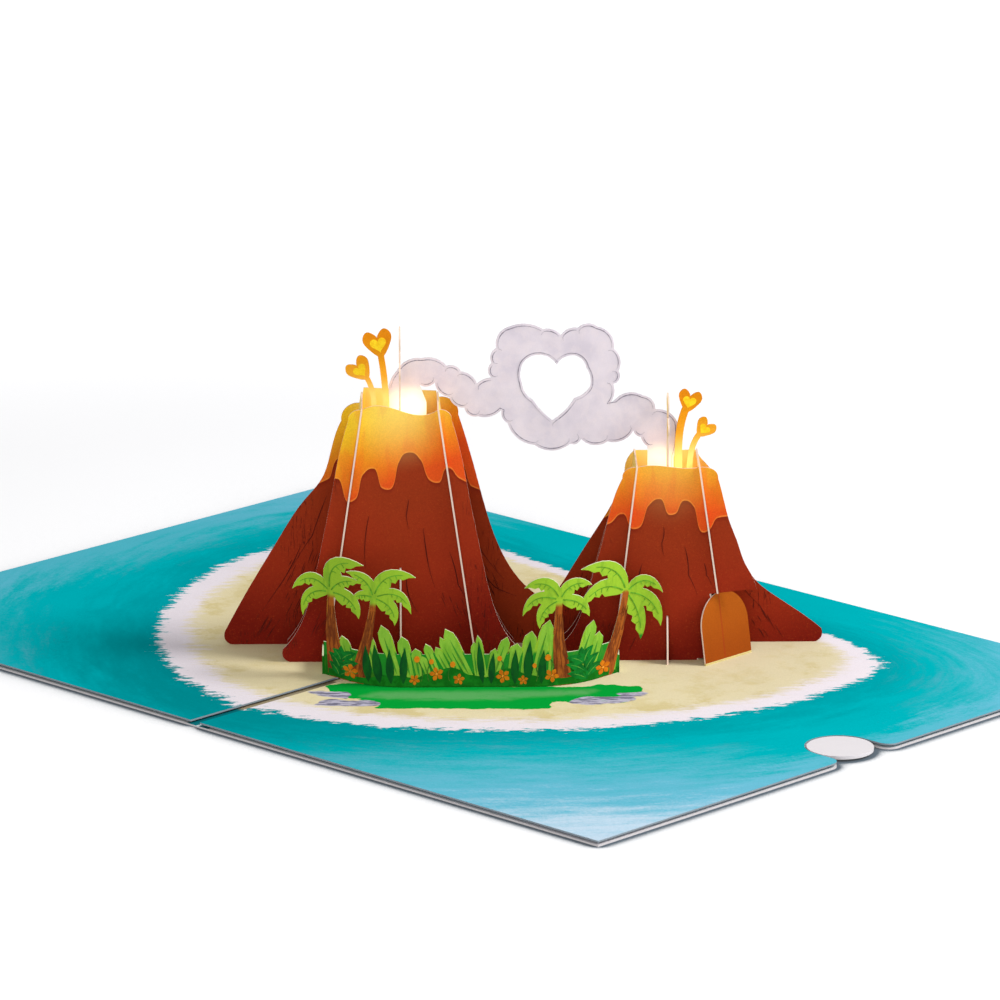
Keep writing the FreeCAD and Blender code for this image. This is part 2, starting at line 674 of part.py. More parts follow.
def flap_room():
    """What a sheet glued to the flap's back leaves free: the flap and all beyond it."""
    half = flap_width
    panel = tipped(box(-sheet_paper - slot_play, flap_height, -half, half, -flap_height, flap_height))
    foot = box(-flap_foot - slot_play, 0, -half, half, 0, sheet_paper + slot_play)
    return at_flap_line(panel.fuse(foot))


def to_card(shape):
    """From the lattice frame to the card's frame, standing on the liners."""
    placed = shape.copy()
    placed.rotate(V(0, 0, 0), V(0, 0, 1), lattice_turn)
    placed.translate(V(0, 0, card_top))
    return placed


def finger_notch(low, high):
    """The notch in the right edge where the pull disc sits, with rounded lips."""
    radius = pull_disc_radius + notch_clearance
    lip = notch_lip_radius
    notch = cylinder(disc_x, 0, radius, low, high)
    notch = notch.fuse(box(disc_x, panel_width + 1, -radius, radius, low, high))
    for side in (-1, 1):
        edge = side * radius
        corner = box(panel_width - lip, panel_width + 1, min(edge, edge + side * lip),
                     max(edge, edge + side * lip), low, high)
        notch = notch.fuse(corner.cut(cylinder(panel_width - lip, edge + side * lip, lip, low, high)))
    return notch


def cover():
    sheet = box(-panel_width, panel_width, -half_length, half_length, 0, cover_paper)
    score = box(-fold_score_width / 2, fold_score_width / 2, -half_length - 1, half_length + 1,
                cover_paper - fold_score_depth, cover_paper + 1)
    return sheet.cut(score).cut(finger_notch(-1, cover_paper + 1))


def liner_left():
    return box(-panel_width, -left_liner_gap, -half_length, half_length, card_top - liner_paper, card_top)


def liner_right():
    sheet = box(right_liner_gap, panel_width, -half_length, half_length, card_top - liner_paper, card_top)
    return sheet.cut(finger_notch(card_top - liner_paper - 1, card_top + 1))


def backing_left():
    return box(-panel_width + backing_inset, -backing_fold_gap, -half_length + backing_inset,
               half_length - backing_inset, cover_paper, card_top - liner_paper)


def slip_tail():
    """Where the message slip's hidden end lies when it is pushed home."""
    return disc_x - pull_disc_radius - slip_length


def pocket_frame():
    """A U of thicker paper that spaces the right liner from the cover round the slip."""
    inner = slip_width / 2 + slip_side_gap
    frame = box(backing_fold_gap, panel_width - backing_inset, -half_length + backing_inset,
                half_length - backing_inset, cover_paper, card_top - liner_paper)
    return frame.cut(box(slip_tail() - slip_end_gap, panel_width, -inner, inner, 0, card_top))


def message_slip():
    tail = slip_tail()
    front = disc_x - pull_disc_radius - 1.5
    sheet = box(tail, front, -slip_width / 2, slip_width / 2, slip_level, slip_level + slip_paper)
    upright = [edge for edge in sheet.Edges if abs(edge.Vertexes[0].Z - edge.Vertexes[-1].Z) > slip_paper / 2]
    sheet = sheet.makeFillet(slip_corner, upright)
    tongue = box(front - slip_corner, disc_x, -tongue_width / 2, tongue_width / 2, slip_level,
                 slip_level + slip_paper)
    head = cylinder(disc_x, 0, pull_disc_radius, slip_level, slip_level + slip_paper)
    return sheet.fuse(tongue).fuse(head).removeSplitter()


def pull_disc():
    low = slip_level + slip_paper
    return cylinder(disc_x, 0, pull_disc_radius, low, low + pull_disc_paper)


def lamp_parts(centre, rim, side):
    """A small light behind the middle slice of a crater: clip, stacked cells and lamp."""
    place_s = centre + side * lamp_offset
    place_t = middle_plane + half_paper + cell_radius + clip_wall
    stack = cell_count * cell_height
    lamp_base = rim - crater_depth - 1.0
    cell_base = lamp_base - stack
    clip = cylinder(place_s, place_t, cell_radius + clip_wall, cell_base - clip_wall, lamp_base)
    clip = clip.cut(cylinder(place_s, place_t, cell_radius, cell_base, lamp_base + 1))
    pad = box(place_s - cell_radius, place_s + cell_radius, middle_plane + half_paper,
              place_t - cell_radius * 0.6, cell_base - clip_wall, lamp_base)
    room = cylinder(place_s, place_t, cell_radius + clip_wall / 2, cell_base - 1, lamp_base + 1)
    clip = clip.fuse(pad.cut(room))
    cells = cylinder(place_s, place_t, cell_radius, cell_base, lamp_base)
    lamp = cylinder(place_s, place_t, lamp_radius, lamp_base, lamp_base + lamp_length - lamp_radius)
    dome = Part.makeSphere(lamp_radius, V(place_s, place_t, lamp_base + lamp_length - lamp_radius))
    return clip.removeSplitter(), cells, lamp.fuse(dome).removeSplitter()


def lattice():
    """Every slotted sheet of the pop up, in the lattice frame."""
    sheets = {
        "left_front_slice": front_slice(left_centre, left_rim, left_rim_half,
                                        (left_shoulder_half, left_shoulder_half),
                                        (front_flank, front_flank), left_foot_half, 1.0),
        "right_front_slice": front_slice(right_centre, right_rim, right_rim_half,
                                         (right_shoulder_half, right_outer_shoulder),
                                         (front_flank, outer_front_flank), right_foot_half, 0.3),
        "left_middle_slice": middle_slice(
            left_centre, hidden_flank(left_centre, -1, left_rim, left_shoulder_half, left_foot_half),
            hidden_flank(left_centre, 1, left_rim, left_shoulder_half, left_foot_half)),
        "right_middle_slice": middle_slice(
            right_centre, hidden_flank(right_centre, -1, right_rim, right_shoulder_half, right_foot_half),
            [(right_centre + right_middle_half, right_rim - crater_depth),
             (right_centre + right_middle_foot, toe_height)]),
        "twin_back_slice": twin_back_slice(),
    }
    slabs = {"left_front_slice": slice_slab(front_plane), "right_front_slice": slice_slab(front_plane),
             "left_middle_slice": slice_slab(middle_plane), "right_middle_slice": slice_slab(middle_plane),
             "twin_back_slice": slice_slab(back_plane)}
    flap_reach = (2 * flap_line + left_centre * math.sqrt(2)) / math.sqrt(2)
    left_tail = [(back_plane + 6.0, web_tail_height), (20.0, 22.0), (40.0, 16.5), (flap_reach, 12.0)]
    right_tail = [(back_plane + 4.0, web_tail_height), (0.7 * right_web_tail, 18.0), (right_web_tail, 8.0)]
    webs = (("left", left_centre, left_rim, left_rim_half, left_web_nose_height, left_tail,
             left_stalk_top, 8.5),
            ("right", right_centre, right_rim, right_rim_half, right_web_nose_height, right_tail,
             right_stalk_top, 6.0))
    for side_name, centre, rim, rim_half, nose_height, tail, top, drop in webs:
        web_name = side_name + "_centre_web"
        sheets[web_name] = web(centre, rim, nose_height, tail)
        slabs[web_name] = web_slab(centre)
        slices = (side_name + "_front_slice", side_name + "_middle_slice", "twin_back_slice")
        half_lap(sheets, slabs, web_name, slices[0], nose_height)
        half_lap(sheets, slabs, web_name, slices[1], 0.5 * web_tail_height)
        half_lap(sheets, slabs, web_name, slices[2], 0.5 * web_tail_height)
        sheets[web_name] = fused([sheets[web_name]] + web_hearts(centre, rim, top, drop))
        for side, rib_side in ((-1, "outer" if side_name == "left" else "inner"),
                               (1, "inner" if side_name == "left" else "outer")):
            rib_name = side_name + "_" + rib_side + "_rib"
            angle = right_inner_rib_lean if rib_name == "right_inner_rib" else rib_lean
            sheets[rib_name] = rib(centre, side, rim, rim_half, angle)
            slabs[rib_name] = rib_slab(centre, side, rim, rim_half, angle)
            for slice_name in slices:
                half_lap(sheets, slabs, slice_name, rib_name, slot_split_share * rim)
    return sheets


def main():
    pieces = {"cover": cover(), "liner_left": liner_left(), "liner_right": liner_right(),
              "backing_left": backing_left(), "pocket_frame": pocket_frame(),
              "message_slip": message_slip(), "pull_disc": pull_disc()}
    for name, sheet in lattice().items():
        pieces[name] = to_card(sheet)
    pieces["smoke_heart"] = to_card(smoke_heart())
    pieces["left_lava_hearts"] = to_card(
        lava_hearts(left_centre + left_root, left_rim, (left_big_heart, left_small_heart)))
    pieces["right_lava_hearts"] = to_card(
        lava_hearts(right_centre + right_root, right_rim, (right_big_heart, right_small_heart)))
    pieces["planting_strip"] = to_card(planting_strip())
    pieces["left_strip_tie"] = to_card(strip_tie(-1))
    pieces["right_strip_tie"] = to_card(strip_tie(1))
    pieces["right_anchor_flap"] = anchor_flap()
    pieces["left_anchor_flap"] = pieces["right_anchor_flap"].mirror(V(0, 0, 0), V(1, 0, 0))
    room = flap_room()
    for name in ("right_front_slice", "right_outer_rib"):
        pieces[name] = pieces[name].cut(room)
    pieces["left_centre_web"] = pieces["left_centre_web"].cut(room.mirror(V(0, 0, 0), V(1, 0, 0)))
    lights = (("left", left_centre, left_rim, -1), ("right", right_centre, right_rim, 1))
    for name, centre, rim, side in lights:
        for kind, shape in zip(("lamp_clip", "button_cells", "lamp"), lamp_parts(centre, rim, side)):
            pieces[name + "_" + kind] = to_card(shape)
    os.makedirs("parts", exist_ok=True)
    for name, shape in pieces.items():
        print(name, "solids", len(shape.Solids), "valid", shape.isValid(), "volume %.1f" % shape.Volume)
        shape.exportStep("parts/" + name + ".step")


main()
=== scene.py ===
# %% [markdown]
# This scene dresses an open pop up card: two panels of printed paper over board, and a paper scene
# that stands up from them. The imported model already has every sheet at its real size, so most of
# the work here is printing. It comes first, and everything else is placed in its frame, in metres.

# %% Load the frame
import bpy
import bmesh
import math
import random
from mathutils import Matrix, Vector


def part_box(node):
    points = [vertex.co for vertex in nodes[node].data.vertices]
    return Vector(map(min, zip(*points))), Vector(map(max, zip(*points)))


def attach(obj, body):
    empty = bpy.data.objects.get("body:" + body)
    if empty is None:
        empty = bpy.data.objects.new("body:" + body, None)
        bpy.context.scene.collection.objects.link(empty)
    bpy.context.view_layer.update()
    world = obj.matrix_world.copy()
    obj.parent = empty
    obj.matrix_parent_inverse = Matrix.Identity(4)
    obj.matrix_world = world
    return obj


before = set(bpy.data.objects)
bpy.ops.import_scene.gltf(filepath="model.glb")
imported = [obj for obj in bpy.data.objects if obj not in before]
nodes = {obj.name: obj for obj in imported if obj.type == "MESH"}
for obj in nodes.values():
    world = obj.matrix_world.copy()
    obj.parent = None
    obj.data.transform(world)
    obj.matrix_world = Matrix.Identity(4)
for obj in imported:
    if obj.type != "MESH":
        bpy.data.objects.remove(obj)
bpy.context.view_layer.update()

print("sheets and fittings:", len(nodes))

# %% [markdown]
# The paper scene stands at 45 degrees to the fold, because its sheets close like an egg crate. It is
# far easier to draw on them in their own directions, so this cell sets up that frame: s runs along
# the wide front sheets, t runs from front to back, and up starts on the printed page. All lengths
# below are in millimetres and turn into metres in one place.

# %% The card's frame and sizes
MM = 0.001
DIAGONAL = math.sqrt(0.5)
page_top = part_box("liner_left")[1][2] / MM
paper = 0.4
front_plane = -15.0
middle_plane = -7.5
back_plane = 0.0
left_centre, left_rim, left_rim_half = -15.7, 62.0, 9.0
right_centre, right_rim, right_rim_half = 47.6, 47.7, 7.4


def lattice_point(s, t, up):
    """A point of the paper scene's own frame, in the row frame and in metres."""
    return Vector(((s - t) * DIAGONAL, (s + t) * DIAGONAL, up + page_top)) * MM


print("page top at", round(page_top, 2), "mm")

# %% [markdown]
# Printing ink is named once, in the numbers that a paint program shows. Blender's shaders work in
# linear light, so each ink is converted here. This way the table reads like a printer's swatch book.


# %% Inks
def ink(red, green, blue):
    """A colour given as 0 to 255, as linear light."""
    shares = [value / 255 for value in (red, green, blue)]
    return tuple(v / 12.92 if v <= 0.04045 else ((v + 0.055) / 1.055) ** 2.4 for v in shares) + (1.0,)


WHITE_PAPER = ink(205, 201, 204)
CUT_PAPER = ink(216, 190, 176)
CUT_BOARD = ink(206, 200, 201)
SHADED_LINER_EDGE = ink(128, 138, 146)
SEA = ink(0, 164, 172)
DEEP_SEA = ink(0, 148, 156)
SHADED_SEA = ink(0, 128, 134)
PALE_SEA = ink(104, 176, 200)
PALEST_SEA = ink(182, 204, 220)
SURF = ink(219, 212, 218)
SAND = ink(214, 203, 166)
# Ochre of the printed sand patches, also used as painted shade on the sand.
OCHRE_AND_SHADED_SAND = ink(196, 180, 122)
ROCK_FOOT = ink(110, 20, 8)
ROCK = ink(146, 42, 18)
ROCK_LIGHT = ink(141, 47, 18)
ROCK_SPECK = ink(196, 88, 34)
ROCK_LINE = ink(70, 16, 10)
LAVA_LOW = ink(218, 80, 26)
LAVA = ink(224, 126, 28)
LAVA_HIGH = ink(232, 188, 38)
LAVA_EDGE = ink(240, 160, 66)
GLOW = ink(242, 214, 128)
LEAF = ink(138, 176, 44)
LEAF_LINE = ink(84, 132, 34)
GRASS = ink(132, 178, 56)
MID_GREEN = ink(28, 124, 34)
DARK_LEAF = ink(12, 92, 24)
GROUND = ink(12, 94, 16)
TRUNK = ink(154, 82, 28)
TRUNK_LINE = ink(104, 48, 20)
FLOWER = ink(200, 114, 16)
FLOWER_EYE = ink(160, 68, 14)
SMOKE = ink(211, 200, 207)
SMOKE_SHADE = ink(188, 178, 190)
PENCIL = ink(112, 106, 116)
FLAP = ink(158, 78, 12)
FLAP_FOOT = ink(142, 64, 8)
STONE = ink(176, 172, 190)
STONE_SHADE = ink(112, 110, 128)
PATCH = ink(6, 150, 52)
PATCH_LIGHT = ink(84, 160, 88)
print("lava ink is", [round(value, 3) for value in LAVA[:3]])

# %% [markdown]
# A procedural material is a small electric circuit: nodes joined by wires. Written out in full it
# hides what it does, so this helper makes a node, sets its values and joins its wires in one call.
# A plain number goes into a socket as its value, and another node's socket is joined by a wire.


# %% A helper for wiring nodes
class Wiring:
    """Makes and joins nodes in one material or group."""

    def __init__(self, tree):
        self.tree = tree

    def put(self, socket, value):
        if isinstance(value, bpy.types.NodeSocket):
            self.tree.links.new(value, socket)
        elif value is not None:
            socket.default_value = value

    def node(self, kind, *values, **settings):
        made = self.tree.nodes.new("ShaderNode" + kind)
        for name, setting in settings.items():
            setattr(made, name, setting)
        for socket, value in zip(made.inputs, values):
            self.put(socket, value)
        return made

    def math(self, operation, *values, clamp=False):
        return self.node("Math", *values, operation=operation, use_clamp=clamp).outputs[0]

    def mix(self, share, first, second, blend="MIX"):
        made = self.tree.nodes.new("ShaderNodeMix")
        made.data_type = "RGBA"
        made.blend_type = blend
        for name, value in (("Factor_Float", share), ("A_Color", first), ("B_Color", second)):
            self.put(next(socket for socket in made.inputs if socket.identifier == name), value)
        return next(socket for socket in made.outputs if socket.identifier == "Result_Color")

    def smooth(self, value, start, end):
        """0 before start, 1 after end, with a soft step between them."""
        made = self.node("MapRange", value, start, end, 0.0, 1.0, interpolation_type="SMOOTHSTEP")
        return made.outputs[0]

    def joined(self, x, y, z):
        return self.node("CombineXYZ", x, y, z).outputs[0]

    def noise(self, vector, scale, detail=2.0, rough=0.5, stretch=(1.0, 1.0, 1.0)):
        placed = self.node("VectorMath", vector, stretch, operation="MULTIPLY").outputs[0]
        made = self.node("TexNoise")
        self.put(made.inputs["Vector"], placed)
        self.put(made.inputs["Scale"], scale)
        self.put(made.inputs["Detail"], detail)
        self.put(made.inputs["Roughness"], rough)
        return made.outputs[0]

    def ramp(self, share, stops):
        made = self.node("ValToRGB", share)
        band = made.color_ramp
        while len(band.elements) < len(stops):
            band.elements.new(1.0)
        for element, (place, colour) in zip(band.elements, stops):
            element.position = place
            element.color = colour
        return made.outputs[0]

    def use(self, group, **values):
        """Places a node group; each value goes to the input of that name, with _ for a space."""
        made = self.tree.nodes.new("ShaderNodeGroup")
        made.node_tree = group
        for name, value in values.items():
            self.put(made.inputs[name.replace("_", " ")], value)
        return made.outputs


def new_group(name, inputs, outputs):
    """An empty node group with named inputs and outputs, and its wiring."""
    group = bpy.data.node_groups.new(name, "ShaderNodeTree")
    for label, kind, value in inputs:
        socket = group.interface.new_socket(label, in_out="INPUT", socket_type="NodeSocket" + kind)
        if value is not None:
            socket.default_value = value
    for label, kind in outputs:
        group.interface.new_socket(label, in_out="OUTPUT", socket_type="NodeSocket" + kind)
    entry = group.nodes.new("NodeGroupInput")
    leave = group.nodes.new("NodeGroupOutput")
    return group, Wiring(group), entry.outputs, leave.inputs


print("wiring helper ready")

# %% [markdown]
# Every printed effect needs to know where on the card it is. Texture Coordinate's Object output
# gives the place in the row frame, because each sheet's object sits at the origin. This group turns
# it into the paper scene's own s, t and up, in millimetres, so that sizes below are real ones.


# %% Group: place on the card
def build_place_group():
    group, w, _, leave = new_group("Place on card", [], [
        ("Along", "Float"), ("Back", "Float"), ("Up", "Float"), ("Place", "Vector"), ("Page", "Vector")])
    place = w.node("TexCoord").outputs["Object"]
    page = w.node("VectorMath", place, operation="SCALE")
    page.inputs["Scale"].default_value = 1 / MM
    x, y, z = w.node("SeparateXYZ", page.outputs[0]).outputs
    along = w.math("MULTIPLY", w.math("ADD", x, y), DIAGONAL)
    back = w.math("MULTIPLY", w.math("SUBTRACT", y, x), DIAGONAL)
    up = w.math("SUBTRACT", z, page_top)
    for socket, value in zip(leave, (along, back, up, w.joined(along, back, up), page.outputs[0])):
        w.put(socket, value)
    return group


PLACE = build_place_group()
print("group:", PLACE.name)

# %% [markdown]
# Paper is white inside, so a printed sheet shows a pale line wherever it is cut. The print lies only
# on the two faces that look along one direction. Comparing the surface's own normal with that
# direction finds them, and all the other faces are cut edges. The print wraps round a cut a little,
# so the line is not quite even.


# %% Group: cut edge of a sheet
def build_cut_group():
    group, w, entry, leave = new_group("Cut edge", [
        ("Print side", "Vector", (0.0, 0.0, 1.0)), ("Limit", "Float", 0.8)], [("Cut", "Float")])
    normal = w.node("TexCoord").outputs["Normal"]
    facing = w.node("VectorMath", normal, entry["Print side"], operation="DOT_PRODUCT").outputs["Value"]
    flat = w.math("ABSOLUTE", facing)
    w.put(leave[0], w.math("LESS_THAN", flat, entry["Limit"]))
    return group


CUT = build_cut_group()
FACES_FRONT = (-DIAGONAL, DIAGONAL, 0.0)
FACES_ASIDE = (DIAGONAL, DIAGONAL, 0.0)
FACES_ACROSS = (1.0, 0.0, 0.0)
FACES_UP = (0.0, 0.0, 1.0)
print("group:", CUT.name)

# %% [markdown]
# The pictures on such a card are painted with a dry, grainy brush and printed as fine dots. Up close
# no colour is even: it has small dark and light specks and a slow cloudy change. The paper under it
# has short fibres that catch the light. One group makes all three, and each ink sets its own amount.


# %% Group: printed grain
def build_grain_group():
    group, w, entry, leave = new_group("Printed grain", [
        ("Color", "Color", (0.5, 0.5, 0.5, 1.0)), ("Place", "Vector", None), ("Speck", "Float", 0.3),
        ("Cloud", "Float", 0.2)], [("Color", "Color"), ("Height", "Float")])
    place = entry["Place"]
    speck = w.smooth(w.noise(place, 3.4, 3.0, 0.75), 0.36, 0.66)
    cloud = w.smooth(w.noise(place, 0.11, 4.0, 0.6), 0.3, 0.7)
    darker = w.math("MULTIPLY", w.math("SUBTRACT", 1.0, speck), entry["Speck"])
    shaded = w.mix(darker, entry["Color"], w.mix(1.0, entry["Color"], (0.55, 0.5, 0.5, 1.0), "MULTIPLY"))
    lighter = w.math("MULTIPLY", cloud, entry["Cloud"])
    w.put(leave[0], w.mix(lighter, shaded, w.mix(1.0, shaded, (1.5, 1.45, 1.4, 1.0), "MULTIPLY")))
    fibre = w.noise(place, 5.0, 3.0, 0.6, (1.0, 0.35, 1.0))
    w.put(leave[1], w.math("ADD", w.math("MULTIPLY", fibre, 0.6), w.math("MULTIPLY", speck, 0.15)))
    return group


GRAIN = build_grain_group()
print("group:", GRAIN.name)

# %% [markdown]
# A painted line, a tree trunk, a stone or a tuft is, at heart, a thick stroke from one point to
# another that may get thinner on the way. This group measures how far a point is from such a stroke
# and answers 1 inside it. Many pictures on the card are built from a handful of these strokes.


# %% Group: brush stroke mask
def build_stroke_group():
    group, w, entry, leave = new_group("Brush stroke", [
        ("Place", "Vector", None), ("Start", "Vector", None), ("End", "Vector", None),
        ("Start width", "Float", 1.0), ("End width", "Float", 1.0), ("Softness", "Float", 0.1)],
        [("Mask", "Float")])
    run = w.node("VectorMath", entry["End"], entry["Start"], operation="SUBTRACT").outputs[0]
    away = w.node("VectorMath", entry["Place"], entry["Start"], operation="SUBTRACT").outputs[0]
    dot = w.node("VectorMath", away, run, operation="DOT_PRODUCT").outputs["Value"]
    size = w.node("VectorMath", run, run, operation="DOT_PRODUCT").outputs["Value"]
    share = w.math("DIVIDE", dot, size, clamp=True)
    reach = w.node("VectorMath", run, operation="SCALE")
    w.put(reach.inputs["Scale"], share)
    gap = w.node("VectorMath", away, reach.outputs[0], operation="DISTANCE").outputs["Value"]
    change = w.math("SUBTRACT", entry["End width"], entry["Start width"])
    half = w.math("MULTIPLY", w.math("MULTIPLY_ADD", change, share, entry["Start width"]), 0.5)
    inside = w.math("SUBTRACT", half, gap)
    soft = w.node("MapRange", inside, w.math("MULTIPLY", entry["Softness"], -1.0), entry["Softness"],
                  0.0, 1.0, interpolation_type="SMOOTHSTEP")
    w.put(leave[0], soft.outputs[0])
    return group


STROKE = build_stroke_group()


def strokes_mask(w, place, strokes, softness=0.15):
    """The union of several strokes: (start, end, start width, end width), in the place's plane."""
    mask = 0.0
    for start, end, start_width, end_width in strokes:
        one = w.use(STROKE, Place=place, Start=start, End=end, Start_width=start_width,
                    End_width=end_width, Softness=softness)["Mask"]
        mask = w.math("MAXIMUM", mask, one)
    return mask


print("group:", STROKE.name)

# %% [markdown]
# A material ends in one Principled shader. Matt printed paper is rough, hardly glossy, and has a
# faint relief. Because that end is the same for every sheet, one function makes it from a colour and
# a height, and keeps the numbers that don't change on the shader's own sockets.


# %% Finishing a paper material
def new_material(name):
    material = bpy.data.materials.new(name)
    material.use_nodes = True
    material.node_tree.nodes.clear()
    return material, Wiring(material.node_tree)


def finish_paper(w, colour, height=None, rough=0.75, relief=0.012, glow=None, glow_strength=1.0, shine=0.06):
    shader = w.node("BsdfPrincipled")
    w.put(shader.inputs["Base Color"], colour)
    shader.inputs["Roughness"].default_value = rough
    shader.inputs["Specular IOR Level"].default_value = shine
    if height is not None:
        bump = w.node("Bump")
        bump.inputs["Strength"].default_value = 0.35
        bump.inputs["Distance"].default_value = relief * MM
        w.put(bump.inputs["Height"], height)
        w.put(shader.inputs["Normal"], bump.outputs[0])
    if glow is not None:
        w.put(shader.inputs["Emission Color"], glow)
        shader.inputs["Emission Strength"].default_value = glow_strength
    output = w.node("OutputMaterial")
    w.put(output.inputs["Surface"], shader.outputs[0])
    return shader


def dress(material, *names):
    """Puts a material on CAD nodes, in the slots that they came with."""
    for name in names:
        node = nodes[name]
        if not node.material_slots:
            node.data.materials.append(material)
        for place in node.material_slots:
            place.material = material


print("paper finish ready")

# %% [markdown]
# The page shows an island in a bright sea. Its shore is a rounded shape, flatter towards the back, so a
# formula for a squarish ellipse tells how far out a point is: 0 in the middle and 1 at the water.
# Noise that is drawn out one way frays the shore into foam, the way a dry brush leaves bristle marks.
# The sea's own strokes follow the shore. Their noise reads the direction from the middle as a point
# on a circle, which keeps it free of a seam.


# %% Group: distance from the island's shore
def build_shore_group():
    group, w, entry, leave = new_group("Shore", [
        ("Page", "Vector", None), ("Flat place", "Vector", None), ("Middle", "Vector", (-2.2, 24.0, 0.0)),
        ("Half width", "Float", 92.0), ("Front half", "Float", 97.5), ("Back half", "Float", 44.5)],
        [("Reach", "Float"), ("Frayed", "Float"), ("Strokes", "Float")])
    off = w.node("VectorMath", entry["Page"], entry["Middle"], operation="SUBTRACT").outputs[0]
    x, y, _ = w.node("SeparateXYZ", off).outputs
    behind = w.smooth(y, -10.0, 10.0)
    half = w.node("MapRange", behind, 0.0, 1.0, entry["Front half"], entry["Back half"]).outputs[0]
    power = w.node("MapRange", behind, 0.0, 1.0, 1.75, 4.0).outputs[0]
    across = w.math("POWER", w.math("ABSOLUTE", w.math("DIVIDE", x, entry["Half width"])), power)
    deep = w.math("POWER", w.math("ABSOLUTE", w.math("DIVIDE", y, half)), power)
    reach = w.math("POWER", w.math("ADD", across, deep), w.math("DIVIDE", 1.0, power))
    bay = w.math("MULTIPLY", w.smooth(w.math("ABSOLUTE", x), 66.0, 20.0), behind)
    reach = w.math("MULTIPLY_ADD", bay, 0.12, reach)
    bristles = w.noise(entry["Flat place"], 0.62, 4.0, 0.72, (0.3, 1.0, 1.0))
    waves = w.noise(entry["Flat place"], 0.06, 2.0, 0.5)
    frayed = w.math("MULTIPLY_ADD", w.math("SUBTRACT", bristles, 0.5), 0.17,
                    w.math("MULTIPLY_ADD", w.math("SUBTRACT", waves, 0.5), 0.05, reach))
    heading = w.node("VectorMath", w.joined(x, y, 0.0), operation="NORMALIZE").outputs[0]
    circle = w.node("VectorMath", heading, (6.0, 6.0, 0.0), operation="MULTIPLY").outputs[0]
    rise = w.joined(0.0, 0.0, w.math("MULTIPLY", reach, 22.0))
    strokes = w.noise(w.node("VectorMath", circle, rise, operation="ADD").outputs[0], 1.0, 5.0, 0.65)
    for socket, value in zip(leave, (reach, frayed, strokes)):
        w.put(socket, value)
    return group


SHORE = build_shore_group()
print("group:", SHORE.name)

# %% [markdown]
# From the shore inwards the print goes from white surf to pale sand with ochre patches. Outwards the
# sea is deepest beside the island and turns to pale, streaky blue at the card's corners, because the
# painter's strokes run out there. A green patch lies in front of the plants, with a few grey stones.

# %% Material: the printed sea and island
patch_strokes = (((-28.6, -37.6, 0.0), (6.0, -40.5, 0.0), 9.0, 12.0),
                 ((-31.6, -35.8, 0.0), (-25.0, -41.5, 0.0), 4.0, 8.0),
                 ((-19.0, -47.5, 0.0), (2.0, -48.2, 0.0), 11.0, 11.0),
                 ((2.0, -47.2, 0.0), (14.0, -48.8, 0.0), 12.0, 12.0),
                 ((10.0, -43.6, 0.0), (33.0, -41.8, 0.0), 15.0, 9.5),
                 ((28.0, -45.4, 0.0), (33.0, -45.4, 0.0), 9.0, 9.0),
                 ((30.0, -39.0, 0.0), (39.6, -38.8, 0.0), 9.0, 5.0))
patch_light_strokes = (((-19.0, -43.0, 0.0), (6.0, -43.4, 0.0), 6.0, 7.0),
                       ((4.0, -43.4, 0.0), (28.0, -41.0, 0.0), 6.0, 3.4))
stone_strokes = (((-36.6, -40.8, 0.0), (-29.4, -42.6, 0.0), 3.4, 5.4),
                 ((-31.6, -48.4, 0.0), (-24.4, -49.2, 0.0), 5.0, 4.0),
                 ((28.8, -48.0, 0.0), (37.0, -46.4, 0.0), 6.6, 4.0),
                 ((36.0, -43.6, 0.0), (41.4, -42.4, 0.0), 4.0, 3.0))


def sea_colour(w, place, shore):
    """The water: deep beside the island, pale and streaky towards the card's corners."""
    speckle = w.math("SUBTRACT", w.noise(place["Page"], 1.1, 3.0, 0.8), 0.5)
    strokes = w.math("MULTIPLY_ADD", speckle, 0.45, w.math("SUBTRACT", shore["Strokes"], 0.5))
    page_x, page_y, _ = w.node("SeparateXYZ", place["Page"]).outputs
    out = w.math("MULTIPLY_ADD", strokes, 0.5, shore["Reach"])
    water = w.mix(w.smooth(out, 0.98, 1.25), DEEP_SEA, SEA)
    side = w.math("MULTIPLY", w.smooth(place["Along"], 20.0, -70.0), w.smooth(place["Back"], 40.0, -30.0))
    water = w.mix(w.math("MULTIPLY", side, w.smooth(out, 1.5, 1.0)), water, SHADED_SEA)
    margins = [w.math("SUBTRACT", half, w.math("ABSOLUTE", value)) for half, value in ((127.0, page_x), (89.0, page_y))]
    edge = w.math("MULTIPLY_ADD", strokes, 26.0, w.math("SUBTRACT", 127.0, page_x))
    water = w.mix(w.math("MULTIPLY", w.smooth(edge, 11.0, 2.0), 0.55), water, PALE_SEA)
    edge = w.math("MULTIPLY_ADD", strokes, 40.0, w.math("ADD", 127.0, page_x))
    water = w.mix(w.math("MULTIPLY", w.smooth(edge, 24.0, 4.0), 0.5), water, PALE_SEA)
    nearest = w.math("MULTIPLY", w.smooth(page_x, -60.0, 40.0), w.smooth(page_y, 30.0, -40.0))
    margin = w.math("MULTIPLY_ADD", nearest, -34.0, w.math("ADD", w.math("ADD", *margins), 34.0))
    corner = w.math("MULTIPLY_ADD", strokes, 80.0, margin)
    water = w.mix(w.math("MULTIPLY", w.smooth(corner, 108.0, 40.0), 0.85), water, PALE_SEA)
    return w.mix(w.smooth(corner, 52.0, 2.0), water, PALEST_SEA)


